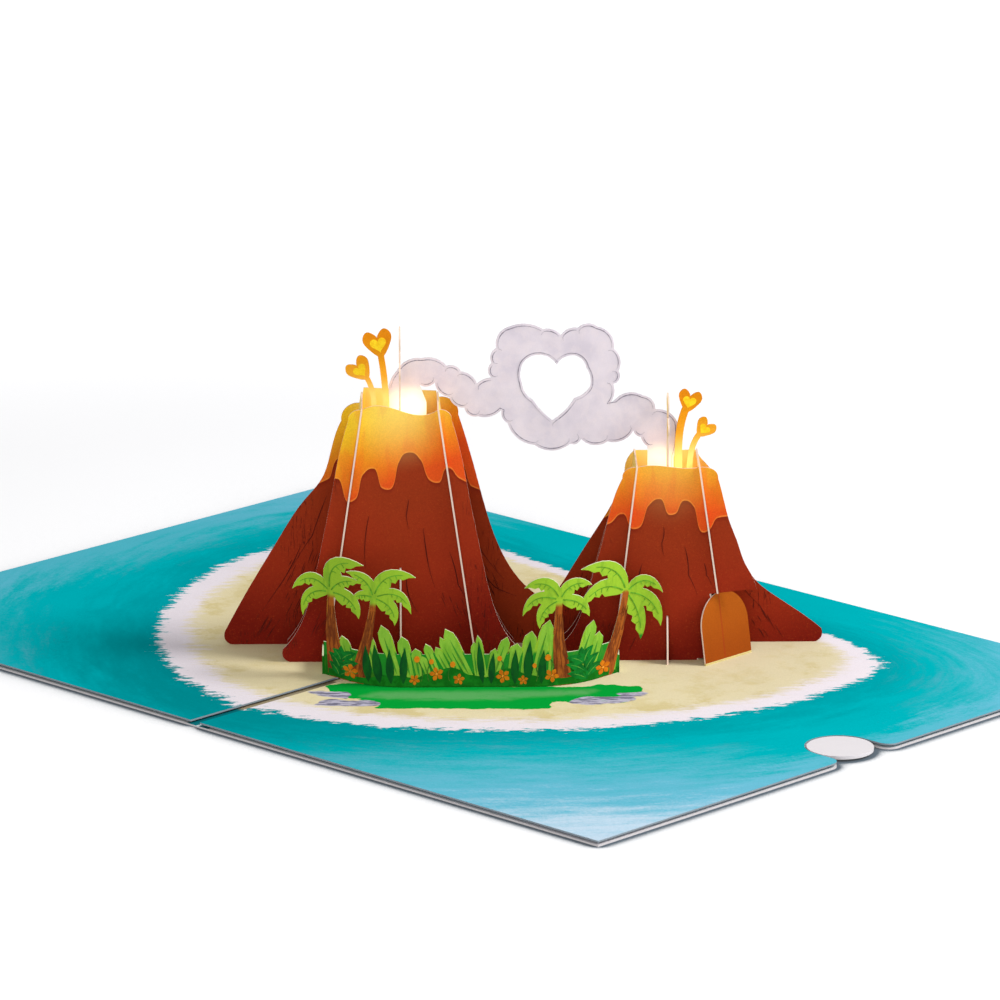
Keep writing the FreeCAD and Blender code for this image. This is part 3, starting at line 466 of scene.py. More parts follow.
def sand_colour(w, place, shore):
    """The beach: white surf at the water, then sand with ochre patches, and painted shade that darkens the sand towards
    the left inside the shore and towards the right.
    """
    patches = w.smooth(w.noise(place["Page"], 0.05, 5.0, 0.7), 0.46, 0.64)
    sand = w.mix(w.math("MULTIPLY", patches, 0.5), SAND, OCHRE_AND_SHADED_SAND)
    rim = w.math("MULTIPLY", w.smooth(shore["Frayed"], 0.8, 0.9), w.smooth(patches, 0.1, 0.8))
    sand = w.mix(w.math("MULTIPLY", rim, 0.6), sand, OCHRE_AND_SHADED_SAND)
    # Painted shade: the sand darkens towards the right, where the key lamp lights it most.
    right = w.math("MULTIPLY", w.smooth(place["Along"], 30.0, 80.0), 0.4)
    sand = w.mix(right, sand, w.mix(1.0, sand, (0.8, 0.8, 0.84, 1.0), "MULTIPLY"))
    # Painted shade: the sand darkens towards the left inside the shore, where the left mountain's shadow falls.
    left = w.math("MULTIPLY", w.smooth(place["Along"], 10.0, -60.0), w.smooth(shore["Reach"], 0.98, 0.6))
    sand = w.mix(w.math("MULTIPLY", left, 0.35), sand, OCHRE_AND_SHADED_SAND)
    return w.mix(w.smooth(shore["Frayed"], 0.87, 0.935), sand, SURF)


def sea_print():
    material, w = new_material("sea_print")
    place = w.use(PLACE)
    shore = w.use(SHORE, Page=place["Page"], Flat_place=w.joined(place["Along"], place["Back"], 0.0))
    wet = w.smooth(shore["Frayed"], 0.985, 1.0)
    colour = w.mix(wet, sand_colour(w, place, shore), sea_colour(w, place, shore))
    flat_place = w.joined(place["Along"], place["Back"], 0.0)
    ragged = w.noise(flat_place, 0.25, 4.0, 0.65, (0.6, 1.0, 1.0))
    wavy = w.noise(flat_place, 0.13, 2.0, 0.5)
    shift = w.joined(w.math("MULTIPLY_ADD", wavy, 12.0, -6.0), w.math("MULTIPLY_ADD", ragged, 4.0, -2.0), 0.0)
    warp = w.node("VectorMath", flat_place, shift, operation="ADD").outputs[0]
    pale = w.math("MULTIPLY", strokes_mask(w, warp, patch_light_strokes, 1.9), w.smooth(ragged, 0.2, 0.5))
    grass = w.mix(pale, PATCH, PATCH_LIGHT)
    colour = w.mix(strokes_mask(w, warp, patch_strokes, 0.2), colour, grass)
    streaky = w.noise(flat_place, 0.5, 3.0, 0.6, (0.4, 1.6, 1.0))
    stone = w.mix(w.smooth(streaky, 0.46, 0.56), STONE, STONE_SHADE)
    broken = w.math("MULTIPLY", strokes_mask(w, warp, stone_strokes, 0.3), w.smooth(streaky, 0.3, 0.38))
    colour = w.mix(broken, colour, stone)
    grain = w.use(GRAIN, Color=colour, Place=place["Page"], Speck=0.2, Cloud=0.05)
    cut = w.use(CUT, Print_side=FACES_UP)["Cut"]
    # Painted shade: the liner's cut edge is dark grey, for the shaded gap between the liner and the cover.
    finish_paper(w, w.mix(cut, grain["Color"], SHADED_LINER_EDGE), grain["Height"], rough=0.7, shine=0.0)
    return material


SEA_PRINT = sea_print()
dress(SEA_PRINT, "liner_left", "liner_right")
print("material:", SEA_PRINT.name)

# %% [markdown]
# The mountains are painted in warm rock colours that darken towards the foot, with long scratchy
# cracks. Molten rock covers the top and runs down in rounded drips. A drip line is a curve, height
# against place along the sheet, so a Float Curve node holds it: its points are listed and its
# smooth handles round them. Above the line the print is lava and below it rock.

# %% Group: lava over rock


def build_rock_group():
    group, w, entry, leave = new_group("Lava over rock", [
        ("Place", "Vector", None), ("Along", "Float", 0.0), ("Up", "Float", 0.0), ("Rim", "Float", 62.0),
        ("Half", "Float", 28.0), ("Drip line", "Float", 0.0), ("Warmth", "Float", 0.0),
        ("Cooler", "Float", 0.0)],
        [("Color", "Color"), ("Lava", "Float"), ("Height", "Float")])
    share = w.math("DIVIDE", entry["Up"], entry["Rim"])
    aside = w.math("DIVIDE", w.math("ABSOLUTE", entry["Along"]), entry["Half"])
    # Lightening lifts the rock towards its lighter colours, as painted light; a negative value darkens it.
    rise = w.math("SUBTRACT", w.math("ADD", share, w.math("MULTIPLY", entry["Warmth"], 0.2)),
                  w.math("MULTIPLY", aside, 0.25))
    rock = w.ramp(rise, [(0.0, ROCK_FOOT), (0.28, ROCK), (0.62, ROCK_LIGHT), (0.85, ROCK_LIGHT)])
    scratch = w.noise(entry["Place"], 0.9, 3.0, 0.6, (1.0, 1.0, 0.09))
    thin = w.math("ABSOLUTE", w.math("SUBTRACT", scratch, 0.5))
    where = w.math("MULTIPLY", w.smooth(w.noise(entry["Place"], 0.09, 2.0, 0.5), 0.5, 0.6),
                   w.smooth(aside, 0.42, 0.6))
    crack = w.math("MULTIPLY", w.smooth(thin, 0.02, 0.004), where)
    rock = w.mix(w.math("MULTIPLY", crack, 0.85), rock, ROCK_LINE)
    specks = w.smooth(w.noise(entry["Place"], 2.4, 4.0, 0.8), 0.56, 0.7)
    rock = w.mix(w.math("MULTIPLY", specks, 0.32), rock, ROCK_SPECK)
    over = w.math("SUBTRACT", entry["Up"], entry["Drip line"])
    depth = w.math("ADD", w.math("SUBTRACT", entry["Rim"], entry["Up"]), entry["Cooler"])
    lava = w.ramp(w.math("DIVIDE", depth, 24.0), [(0.0, LAVA_HIGH), (0.45, LAVA), (0.72, LAVA_LOW)])
    rim_line = w.smooth(over, 0.55, 0.15)
    lava = w.mix(w.math("MULTIPLY", rim_line, 0.4), lava, LAVA_EDGE)
    flow = w.smooth(w.noise(entry["Place"], 0.35, 2.0, 0.5, (1.0, 1.0, 0.25)), 0.5, 0.62)
    lava = w.mix(w.math("MULTIPLY", flow, 0.28), lava, LAVA_LOW)
    mask = w.smooth(over, -0.08, 0.08)
    shadow = w.math("MULTIPLY", w.smooth(over, -1.4, -0.1), 0.45)
    rock = w.mix(shadow, rock, ROCK_FOOT)
    w.put(leave[0], w.mix(mask, rock, lava))
    w.put(leave[1], mask)
    w.put(leave[2], w.math("MULTIPLY", mask, 0.5))
    return group


ROCK_GROUP = build_rock_group()


def drip_line(w, along, start, end, points, rim):
    """Height of the drip line: points are (place along, millimetres under the rim)."""
    deepest = 32.0
    node = w.node("FloatCurve", 1.0, w.node("MapRange", along, start, end, 0.0, 1.0).outputs[0])
    curve = node.mapping.curves[0]
    placed = [((place - start) / (end - start), 1 - depth / deepest) for place, depth in points]
    curve.points[0].location = placed[0]
    curve.points[1].location = placed[-1]
    for place in placed[1:-1]:
        curve.points.new(*place)
    node.mapping.update()
    return w.math("MULTIPLY_ADD", w.math("SUBTRACT", node.outputs[0], 1.0), deepest, rim)


def rock_print(name, centre, rim, half, drips, side, glow_side=0.0, cooler=0.0, tilt=0.4):
    """The print of one mountain sheet; drips are measured from the mountain's centre."""
    material, w = new_material(name)
    place = w.use(PLACE)
    along = w.math("SUBTRACT", place["Along"], centre)
    line = drip_line(w, along, drips[0][0], drips[-1][0], drips, rim)
    print_ = w.use(ROCK_GROUP, Place=place["Place"], Along=along, Up=place["Up"], Rim=rim, Half=half,
                   Drip_line=line, Cooler=w.math("MULTIPLY_ADD", along, tilt, cooler))
    grain = w.use(GRAIN, Color=print_["Color"], Place=place["Place"], Speck=0.34, Cloud=0.12)
    cut = w.use(CUT, Print_side=side)["Cut"]
    colour = w.mix(cut, grain["Color"], CUT_PAPER)
    # Painted light: the crater's glow is mixed into the colour and given off as emission.
    glow = crater_glow(w, along, place["Up"], rim, glow_side)
    finish_paper(w, w.mix(glow, colour, GLOW), grain["Height"], glow=w.mix(glow, (0.0, 0.0, 0.0, 1.0), GLOW),
                 glow_strength=0.12)
    return material


def crater_glow(w, along, up, rim, amount):
    """How much painted lamp light the paper gets round the crater: a painted glow, brightest at the middle of the rim.
    """
    deep = w.math("MULTIPLY", w.math("SUBTRACT", up, rim + 1.0), 0.8)
    gap = w.math("SQRT", w.math("ADD", w.math("POWER", along, 2.0), w.math("POWER", deep, 2.0)))
    return w.math("MULTIPLY", w.smooth(gap, 14.0, 0.0), amount)


left_front_drips = ((-28.0, 20.0), (-18.0, 17.5), (-14.6, 17.0), (-12.4, 22.6), (-10.6, 22.0), (-8.8, 16.0),
                    (-6.2, 14.5), (-4.4, 19.2), (-2.4, 19.6), (-0.4, 13.2), (2.2, 10.6), (4.8, 12.4),
                    (7.2, 17.6), (9.2, 18.0), (11.0, 14.4), (14.0, 17.0), (28.0, 22.0))
left_front = rock_print("left_front_print", left_centre, left_rim, 28.0, left_front_drips, FACES_FRONT, 0.4)
dress(left_front, "left_front_slice")
print("material:", left_front.name)

# %% [markdown]
# The other sheets use the same group with their own drip lines. The wide back sheet has two peaks,
# so its material holds two sets of drips and switches from one to the other at the low saddle
# between them. The sheets inside are printed too, because they show from behind and from above.

# %% Materials: the other mountain sheets
right_front_drips = ((-27.0, 15.0), (-14.0, 14.0), (-10.6, 11.6), (-8.6, 15.2), (-6.8, 15.0), (-4.6, 9.6),
                     (-1.8, 8.0), (0.2, 11.8), (1.8, 11.6), (3.8, 8.4), (6.2, 10.0), (8.2, 16.2), (9.8, 15.6),
                     (12.0, 12.6), (27.0, 17.0))
right_front = rock_print("right_front_print", right_centre, right_rim, 27.0, right_front_drips, FACES_FRONT,
                         glow_side=0.15, cooler=6.0, tilt=0.0)
dress(right_front, "right_front_slice")

left_back_drips = ((-42.0, 26.0), (-17.0, 21.0), (-14.5, 16.0), (-11.0, 24.0), (-8.0, 15.0), (0.0, 17.0),
                   (8.0, 14.0), (11.0, 22.0), (14.0, 16.5), (17.0, 23.0), (35.5, 26.0))
right_back_drips = ((-27.8, 20.0), (-13.5, 16.0), (-11.0, 11.0), (-8.0, 15.5), (0.0, 12.0), (8.0, 10.5),
                    (10.5, 16.0), (12.6, 12.0), (15.0, 17.0), (37.7, 20.0))
saddle_place = 19.8


def back_print():
    material, w = new_material("back_slice_print")
    place = w.use(PLACE)
    second = w.math("GREATER_THAN", place["Along"], saddle_place)
    colours = []
    glows = []
    for centre, rim, half, drips, low, high in ((left_centre, left_rim, 38.0, left_back_drips, 0.8, 3.4),
                                                (right_centre, right_rim, 34.0, right_back_drips, 1.2, 1.2)):
        along = w.math("SUBTRACT", place["Along"], centre)
        # Painted light: the back sheet's rock is lightened where the front sheets shade it, most of all right of the
        # left mountain's centre.
        painted_lightening = w.node("MapRange", along, 0.0, 24.0, low, high).outputs[0]
        line = drip_line(w, along, drips[0][0], drips[-1][0], drips, rim)
        colours.append(w.use(ROCK_GROUP, Place=place["Place"], Along=along, Up=place["Up"], Rim=rim,
                             Half=half, Drip_line=line, Warmth=painted_lightening,
                             Cooler=w.math("MULTIPLY", along, 0.4))["Color"])
        glows.append(crater_glow(w, along, place["Up"], rim, 1.0))
    grain = w.use(GRAIN, Color=w.mix(second, *colours), Place=place["Place"], Speck=0.36, Cloud=0.1)
    cut = w.use(CUT, Print_side=FACES_FRONT)["Cut"]
    # Painted light: each crater's glow is mixed into the colour and given off as emission.
    glow = w.mix(second, *glows)
    colour = w.mix(glow, w.mix(cut, grain["Color"], ROCK), GLOW)
    finish_paper(w, colour, grain["Height"], glow=w.mix(glow, (0.0, 0.0, 0.0, 1.0), GLOW), glow_strength=0.25)
    return material


BACK_PRINT = back_print()
dress(BACK_PRINT, "twin_back_slice")
for side, centre, rim, drips in (("left", left_centre, left_rim, left_front_drips),
                                 ("right", right_centre, right_rim, right_front_drips)):
    inner = rock_print(side + "_inner_print", centre, rim, 30.0, drips, FACES_FRONT, 0.7)
    dress(inner, side + "_middle_slice")
print("materials for", len(bpy.data.materials), "sheets so far")

# %% [markdown]
# The ribs and centre webs run from front to back, so their print faces sideways and their drips run
# along t instead. Seen from the front only their cut edges show, as pale lines down the mountain.

# %% Materials: ribs and centre webs
rib_drips = ((-20.0, 12.0), (-16.0, 15.0), (-12.0, 9.0), (-8.0, 14.0), (-4.0, 9.0), (0.0, 15.0), (4.0, 12.0))


def side_print(name, rim, glow_amount):
    """The print of a sheet that runs from front to back."""
    material, w = new_material(name)
    place = w.use(PLACE)
    along = place["Back"]
    line = drip_line(w, along, rib_drips[0][0], rib_drips[-1][0], rib_drips, rim)
    print_ = w.use(ROCK_GROUP, Place=place["Place"], Along=0.0, Up=place["Up"], Rim=rim, Half=30.0,
                   Drip_line=line, Warmth=-0.4)
    grain = w.use(GRAIN, Color=print_["Color"], Place=place["Place"], Speck=0.34, Cloud=0.12)
    cut = w.use(CUT, Print_side=FACES_ASIDE)["Cut"]
    # Painted light: a glow towards the top of the rib, mixed into the colour and given off as emission.
    glow = w.math("MULTIPLY", w.smooth(place["Up"], rim - 14.0, rim), glow_amount)
    colour = w.mix(cut, w.mix(glow, grain["Color"], GLOW), CUT_PAPER)
    finish_paper(w, colour, grain["Height"], glow=w.mix(glow, (0.0, 0.0, 0.0, 1.0), LAVA_HIGH), glow_strength=0.15)
    return material


for side, rim in (("left", left_rim), ("right", right_rim)):
    material = side_print(side + "_rib_print", rim, 0.8)
    dress(material, side + "_outer_rib", side + "_inner_rib", side + "_centre_web")
print("ribs and webs printed")

# %% [markdown]
# Smoke is pale lilac watercolour. Where it comes out of a crater it has a painted glow, warm white in its
# colour and in emission, for the lamp shining through the paper. Soft noise makes the washes of colour.


# %% Material: smoke
def smoke_print():
    material, w = new_material("smoke_print")
    place = w.use(PLACE)
    wash = w.smooth(w.noise(place["Place"], 0.14, 3.0, 0.5), 0.36, 0.7)
    colour = w.mix(w.math("MULTIPLY", wash, 0.6), SMOKE, SMOKE_SHADE)
    fine = w.smooth(w.noise(place["Place"], 0.5, 3.0, 0.6), 0.45, 0.6)
    colour = w.mix(w.math("MULTIPLY", fine, 0.2), colour, ink(222, 208, 208))
    along = place["Along"]
    glow = 0.0
    for centre, rim in ((left_centre + 2.0, left_rim), (right_centre - 1.5, right_rim)):
        across = w.math("SUBTRACT", along, centre)
        up = w.math("SUBTRACT", place["Up"], rim - 3.0)
        gap = w.math("SQRT", w.math("ADD", w.math("POWER", across, 2.0), w.math("POWER", up, 2.0)))
        glow = w.math("MAXIMUM", glow, w.smooth(gap, 8.0, 2.5))
    grain = w.use(GRAIN, Color=colour, Place=place["Place"], Speck=0.08, Cloud=0.1)
    cut = w.use(CUT, Print_side=FACES_FRONT)["Cut"]
    painted_glow = ink(255, 246, 226)
    colour = w.mix(glow, w.mix(cut, grain["Color"], WHITE_PAPER), painted_glow)
    finish_paper(w, colour, grain["Height"], glow=w.mix(glow, (0.0, 0.0, 0.0, 1.0), painted_glow), glow_strength=0.35)
    return material


SMOKE_PRINT = smoke_print()
dress(SMOKE_PRINT, "smoke_heart")
print("material:", SMOKE_PRINT.name)

# %% [markdown]
# The lava hearts are orange with a brighter heart printed inside, and their stalks have a painted glow,
# in colour and emission, where they leave the crater. The bright hearts are printed later, as thin shapes of ink.


# %% Materials: lava hearts, flaps and ties
def lava_heart_print(name, rim):
    material, w = new_material(name)
    place = w.use(PLACE)
    rise = w.node("MapRange", place["Up"], rim - 4.0, rim + 16.0, 0.0, 1.0).outputs[0]
    colour = w.ramp(rise, [(0.0, ink(252, 214, 120)), (0.35, ink(236, 172, 56)), (0.7, ink(216, 142, 22)),
                           (1.0, ink(208, 126, 14))])
    grain = w.use(GRAIN, Color=colour, Place=place["Place"], Speck=0.2, Cloud=0.15)
    glow = w.smooth(place["Up"], rim + 7.0, rim - 2.0)
    warm = w.mix(glow, (0.0, 0.0, 0.0, 1.0), GLOW)
    finish_paper(w, w.mix(glow, grain["Color"], GLOW), grain["Height"], glow=warm, glow_strength=0.2)
    return material


for side, rim in (("left", left_rim), ("right", right_rim)):
    dress(lava_heart_print(side + "_lava_heart_print", rim), side + "_lava_hearts")


def flap_print():
    material, w = new_material("flap_print")
    place = w.use(PLACE)
    colour = w.mix(w.smooth(place["Up"], 0.0, 15.0), FLAP_FOOT, FLAP)
    _, page_y, _ = w.node("SeparateXYZ", place["Page"]).outputs
    # Painted shade: a darker line along the flap's crease.
    crease = w.smooth(w.math("ABSOLUTE", w.math("SUBTRACT", page_y, 32.6)), 0.3, 0.1)
    colour = w.mix(w.math("MULTIPLY", crease, 0.5), colour, ROCK)
    grain = w.use(GRAIN, Color=colour, Place=place["Place"], Speck=0.3, Cloud=0.12)
    cut = w.use(CUT, Print_side=FACES_ACROSS)["Cut"]
    colour = w.mix(cut, grain["Color"], CUT_PAPER)
    finish_paper(w, w.mix(w.math("LESS_THAN", place["Up"], 0.5), colour, OCHRE_AND_SHADED_SAND), grain["Height"])
    return material


dress(flap_print(), "left_anchor_flap", "right_anchor_flap")
print("hearts and flaps printed")

# %% [markdown]
# The planting strip is cut from one green sheet: leaves and blades above, dark turf below, and four
# brown palm trunks. The trunks are brush strokes from crown to foot, given in the strip's own s and
# up, and noise breaks the greens up.

# %% Material: the planting strip
palm_trunks = (((-32.1, 20.4), (-31.9, 11.2), (-30.4, 1.0), 1.7, 2.9, 4.8),
               ((-22.2, 21.2), (-23.4, 11.8), (-26.0, 1.0), 1.6, 2.4, 3.4),
               ((21.5, 20.6), (21.2, 11.4), (22.2, 1.0), 1.7, 2.8, 4.6),
               ((37.3, 19.0), (35.6, 10.6), (32.6, 1.0), 1.7, 2.5, 3.6))


def planting_print():
    material, w = new_material("planting_print")
    place = w.use(PLACE)
    flat = w.joined(place["Along"], place["Up"], 0.0)
    ragged = w.math("MULTIPLY_ADD", w.math("SUBTRACT", w.noise(place["Place"], 0.16, 1.0, 0.5), 0.5), 9.0,
                    place["Up"])
    green = w.mix(w.smooth(ragged, 3.2, 3.8), GROUND, MID_GREEN)
    green = w.mix(w.smooth(place["Up"], 8.0, 9.0), green, LEAF)
    shade = w.smooth(w.noise(place["Place"], 0.5, 3.0, 0.6, (1.0, 1.0, 0.3)), 0.52, 0.66)
    green = w.mix(w.math("MULTIPLY", shade, 0.35), green, LEAF_LINE)
    trunks = []
    for top, bend, foot, thin, middle, thick in palm_trunks:
        trunks.append(((*top, 0.0), (*bend, 0.0), thin, middle))
        trunks.append(((*bend, 0.0), (*foot, 0.0), middle, thick))
    trunk = strokes_mask(w, flat, trunks, 0.1)
    bark = w.smooth(w.noise(place["Place"], 0.9, 3.0, 0.6, (1.0, 1.0, 0.25)), 0.48, 0.6)
    brown = w.mix(w.math("MULTIPLY", bark, 0.6), TRUNK, TRUNK_LINE)
    under_crown = w.math("MULTIPLY", trunk, w.smooth(place["Up"], 20.5, 19.0))
    colour = w.mix(under_crown, green, brown)
    grain = w.use(GRAIN, Color=colour, Place=place["Place"], Speck=0.18, Cloud=0.15)
    cut = w.use(CUT, Print_side=FACES_FRONT, Limit=0.6)["Cut"]
    finish_paper(w, w.mix(cut, grain["Color"], ink(206, 214, 176)), grain["Height"])
    return material


PLANTING = planting_print()
dress(PLANTING, "planting_strip", "left_strip_tie", "right_strip_tie")
print("material:", PLANTING.name)

# %% [markdown]
# The folded card itself is board: the cover's printed inside shows as a thin stripe at the fold, with
# a pale line along the crease. The message slip is plain writing paper, with faint ruled
# lines that appear when it is pulled out.


# %% Materials: cover, boards and slip
def cover_print():
    material, w = new_material("cover_print")
    place = w.use(PLACE)
    page_x, page_y, page_z = w.node("SeparateXYZ", place["Page"]).outputs
    crease = w.smooth(w.math("ABSOLUTE", page_x), 0.42, 0.2)
    inside = w.mix(crease, ink(0, 104, 112), ink(196, 224, 226))
    shore = w.smooth(w.math("ABSOLUTE", w.math("SUBTRACT", page_y, -2.0)), 70.0, 72.0)
    inside = w.mix(shore, w.mix(crease, ink(150, 138, 112), ink(186, 176, 150)), inside)
    inside = w.mix(w.smooth(w.math("ABSOLUTE", page_x), 3.0, 4.0), inside, CUT_BOARD)
    outside = w.mix(w.smooth(w.noise(place["Page"], 0.02, 4.0, 0.6), 0.3, 0.7), SEA, PALE_SEA)
    colour = w.mix(w.math("GREATER_THAN", page_z, 0.2), outside, inside)
    grain = w.use(GRAIN, Color=colour, Place=place["Page"], Speck=0.14, Cloud=0.08)
    cut = w.use(CUT, Print_side=FACES_UP)["Cut"]
    finish_paper(w, w.mix(cut, grain["Color"], CUT_BOARD), grain["Height"])
    return material


def plain_board(name, colour, speck):
    material, w = new_material(name)
    place = w.use(PLACE)
    grain = w.use(GRAIN, Color=colour, Place=place["Page"], Speck=speck, Cloud=0.05)
    finish_paper(w, grain["Color"], grain["Height"], rough=0.75, relief=0.02)
    return material


def slip_print():
    material, w = new_material("slip_print")
    place = w.use(PLACE)
    page_x, page_y, _ = w.node("SeparateXYZ", place["Page"]).outputs
    row = w.math("ABSOLUTE", w.math("SUBTRACT", w.math("FRACT", w.math("DIVIDE", page_x, 9.0)), 0.5))
    line = w.math("MULTIPLY", w.smooth(row, 0.03, 0.015), w.smooth(w.math("ABSOLUTE", page_y), 52.0, 51.5))
    line = w.math("MULTIPLY", line, w.math("LESS_THAN", page_x, 106.0))
    colour = w.mix(w.math("MULTIPLY", line, 0.6), WHITE_PAPER, PALE_SEA)
    grain = w.use(GRAIN, Color=colour, Place=place["Page"], Speck=0.04, Cloud=0.04)
    finish_paper(w, grain["Color"], grain["Height"], rough=0.7)
    return material


dress(cover_print(), "cover")
dress(plain_board("grey_board", ink(176, 172, 176), 0.2), "backing_left", "pocket_frame")
dress(slip_print(), "message_slip")
dress(plain_board("disc_paper", WHITE_PAPER, 0.04), "pull_disc")
print("boards and slip dressed")

# %% [markdown]
# Small painted things, such as leaf ribs, flowers and pencil lines, are too fine for masks. They are
# drawn as shapes: closed solids, thinner than the paper, that lie on a sheet like thick ink. A ribbon
# is a line with a width at every point, and it bends with a bowed sheet because it is cut across
# into short lengths. Every new shape lies a hair higher, so that no two faces fall together.


# %% Drawing with ink
class Ink:
    """Thin closed shapes that lie on one sheet; surface turns (along, up, proud) into a place."""

    def __init__(self, surface, proud=0.06):
        self.surface = surface
        self.proud = proud
        self.count = 0
        self.mesh = bmesh.new()

    def levels(self):
        self.count += 1
        return self.proud + 0.004 * (self.count % 8), -0.03

    def ribbon(self, points, widths):
        """A stroke along the points, with its width at each of them."""
        levels = self.levels()
        rows = []
        for index, point in enumerate(points):
            before = Vector(points[max(index - 1, 0)])
            after = Vector(points[min(index + 1, len(points) - 1)])
            run = (after - before).normalized()
            half = Vector((-run.y, run.x)) * widths[index] / 2
            across = [Vector(point) + half * side for side in (1, 0, -1)]
            rows.append([[self.mesh.verts.new(self.surface(*pair, level)) for pair in across] for level in levels])
        for first, second in zip(rows, rows[1:]):
            for level in (0, 1):
                for side in (0, 1):
                    self.mesh.faces.new((first[level][side], first[level][side + 1],
                                         second[level][side + 1], second[level][side]))
            for side in (0, 2):
                self.mesh.faces.new((first[0][side], second[0][side], second[1][side], first[1][side]))
        for end in (rows[0], rows[-1]):
            for side in (0, 1):
                self.mesh.faces.new((end[0][side], end[0][side + 1], end[1][side + 1], end[1][side]))

    def shape(self, outline):
        """A flat shape with any outline."""
        front, back = [[self.mesh.verts.new(self.surface(*pair, level)) for pair in outline]
                       for level in self.levels()]
        self.mesh.faces.new(front)
        self.mesh.faces.new(back)
        for index, after in enumerate(list(range(1, len(outline))) + [0]):
            self.mesh.faces.new((front[index], front[after], back[after], back[index]))

    def finish(self, name, material):
        bmesh.ops.recalc_face_normals(self.mesh, faces=self.mesh.faces)
        bmesh.ops.triangulate(self.mesh, faces=[face for face in self.mesh.faces if len(face.verts) > 4])
        data = bpy.data.meshes.new(name)
        self.mesh.to_mesh(data)
        self.mesh.free()
        data.materials.append(material)
        piece = bpy.data.objects.new(name, data)
        bpy.context.scene.collection.objects.link(piece)
        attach(piece, "card")
        print(name, "has", self.count, "shapes")
        return piece


def bent_line(start, end, bow, count=8):
    """Points from start to end along a line that bows to its left."""
    run = Vector(end) - Vector(start)
    aside = Vector((-run.y, run.x)).normalized() * bow
    middle = (Vector(start) + Vector(end)) / 2 + aside * 2
    places = [index / count for index in range(count + 1)]
    return [Vector(start) * (1 - u) ** 2 + middle * 2 * u * (1 - u) + Vector(end) * u * u for u in places]


def leaf_widths(count, width, fullest=0.4):
    """Widths of a leaf from stem to tip, pointed at both ends."""
    power = math.log(0.5) / math.log(fullest)
    return [max(width * math.sin(math.pi * (index / count) ** power), 0.05) for index in range(count + 1)]


def ink_material(name, first, second, scale=0.8, stretch=(1.0, 1.0, 1.0)):
    """Two tones of one ink, mixed unevenly by the brush."""
    material, w = new_material(name)
    place = w.use(PLACE)
    tone = w.smooth(w.noise(place["Place"], scale, 3.0, 0.6, stretch), 0.4, 0.62)
    grain = w.use(GRAIN, Color=w.mix(tone, first, second), Place=place["Place"], Speck=0.2, Cloud=0.1)
    finish_paper(w, grain["Color"], grain["Height"])
    return material


def on_front(plane):
    """The front of a flat sheet that stands at one plane."""
    return lambda along, up, proud: lattice_point(along, plane - paper / 2 - proud, up)


print("ink is ready")

# %% [markdown]
# The planting strip bows forward: a straight middle, a bend on each side, and ends that point back.
# To draw on it, its plan is worked out again from the same few sizes. The ink then stands off from
# the sheet along the sheet's own direction, so it lies flat on the bends too.

# %% The strip's bowed front
strip_middle, strip_reach, strip_half_straight = 0.8, -36.3, 15.0
strip_bend_radius, strip_end_run, leaf_bend_radius = 20.0, 7.9, 12.0
strip_bend, leaf_heading = math.radians(45.0), math.radians(10.0)


def strip_plan(along):
    """How far back the planting strip stands at a place along it."""
    out = abs(along - strip_middle) - strip_half_straight
    bend_end = strip_bend_radius * math.sin(strip_bend)
    run_end = bend_end + strip_end_run * math.cos(strip_bend)
    back = strip_reach + strip_bend_radius - strip_bend_radius * math.cos(strip_bend)
    if out <= 0:
        return strip_reach
    if out <= bend_end:
        return strip_reach + strip_bend_radius - math.sqrt(strip_bend_radius ** 2 - out ** 2)
    if out <= run_end:
        return back + (out - bend_end) * math.tan(strip_bend)
    back += (run_end - bend_end) * math.tan(strip_bend)
    turn_out = run_end + leaf_bend_radius * math.sin(strip_bend)
    turn_back = back - leaf_bend_radius * math.cos(strip_bend)
    leaf_start = turn_out - leaf_bend_radius * math.sin(leaf_heading)
    within = min(out, leaf_start)
    back = turn_back + math.sqrt(leaf_bend_radius ** 2 - (within - turn_out) ** 2)
    return back + (out - within) * math.tan(leaf_heading)


def on_strip(along, up, proud):
    """The front of the bowed planting strip."""
    slope = (strip_plan(along + 0.01) - strip_plan(along - 0.01)) / 0.02
    size = math.hypot(slope, 1.0)
    stand = paper / 2 + proud
    return lattice_point(along + stand * slope / size, strip_plan(along) - stand / size, up)


print("the strip reaches from", round(strip_plan(35.0), 2), "to", strip_reach)

# %% [markdown]
# Leaves are painted with a rib down the middle and, on the palms, short darker ticks towards the
# toothed edge. The ribs follow the same bent lines that the leaves were cut along.

# %% Leaf ribs and bark
palm_leaves = (
    ((-32.2, 20.6), (((-41.3, 20.0), -2.6, 3.4), ((-38.8, 13.6), -2.4, 3.0), ((-24.4, 28.9), 3.6, 4.4),
                     ((-25.6, 15.7), 2.0, 4.2), ((-25.2, 24.6), 1.4, 3.2))),
    ((-22.1, 21.4), (((-12.2, 26.7), 3.0, 4.0), ((-13.3, 17.8), 3.0, 3.2), ((-17.2, 15.0), 1.8, 3.8),
                     ((-28.6, 26.5), -1.8, 3.6), ((-27.0, 20.4), -0.8, 2.6))),
    ((21.5, 20.9), (((13.2, 24.0), -2.6, 3.8), ((12.8, 17.2), -2.6, 3.2), ((16.8, 14.1), -1.6, 3.4),
                    ((29.2, 23.4), 2.2, 3.6), ((28.6, 15.8), 1.6, 3.4))),
    ((37.4, 19.2), (((26.5, 27.6), -3.0, 4.2), ((26.1, 18.2), -3.2, 4.2), ((46.3, 18.4), 2.8, 3.2),
                    ((45.8, 10.2), 2.4, 4.2), ((41.0, 7.2), 1.2, 4.0))))
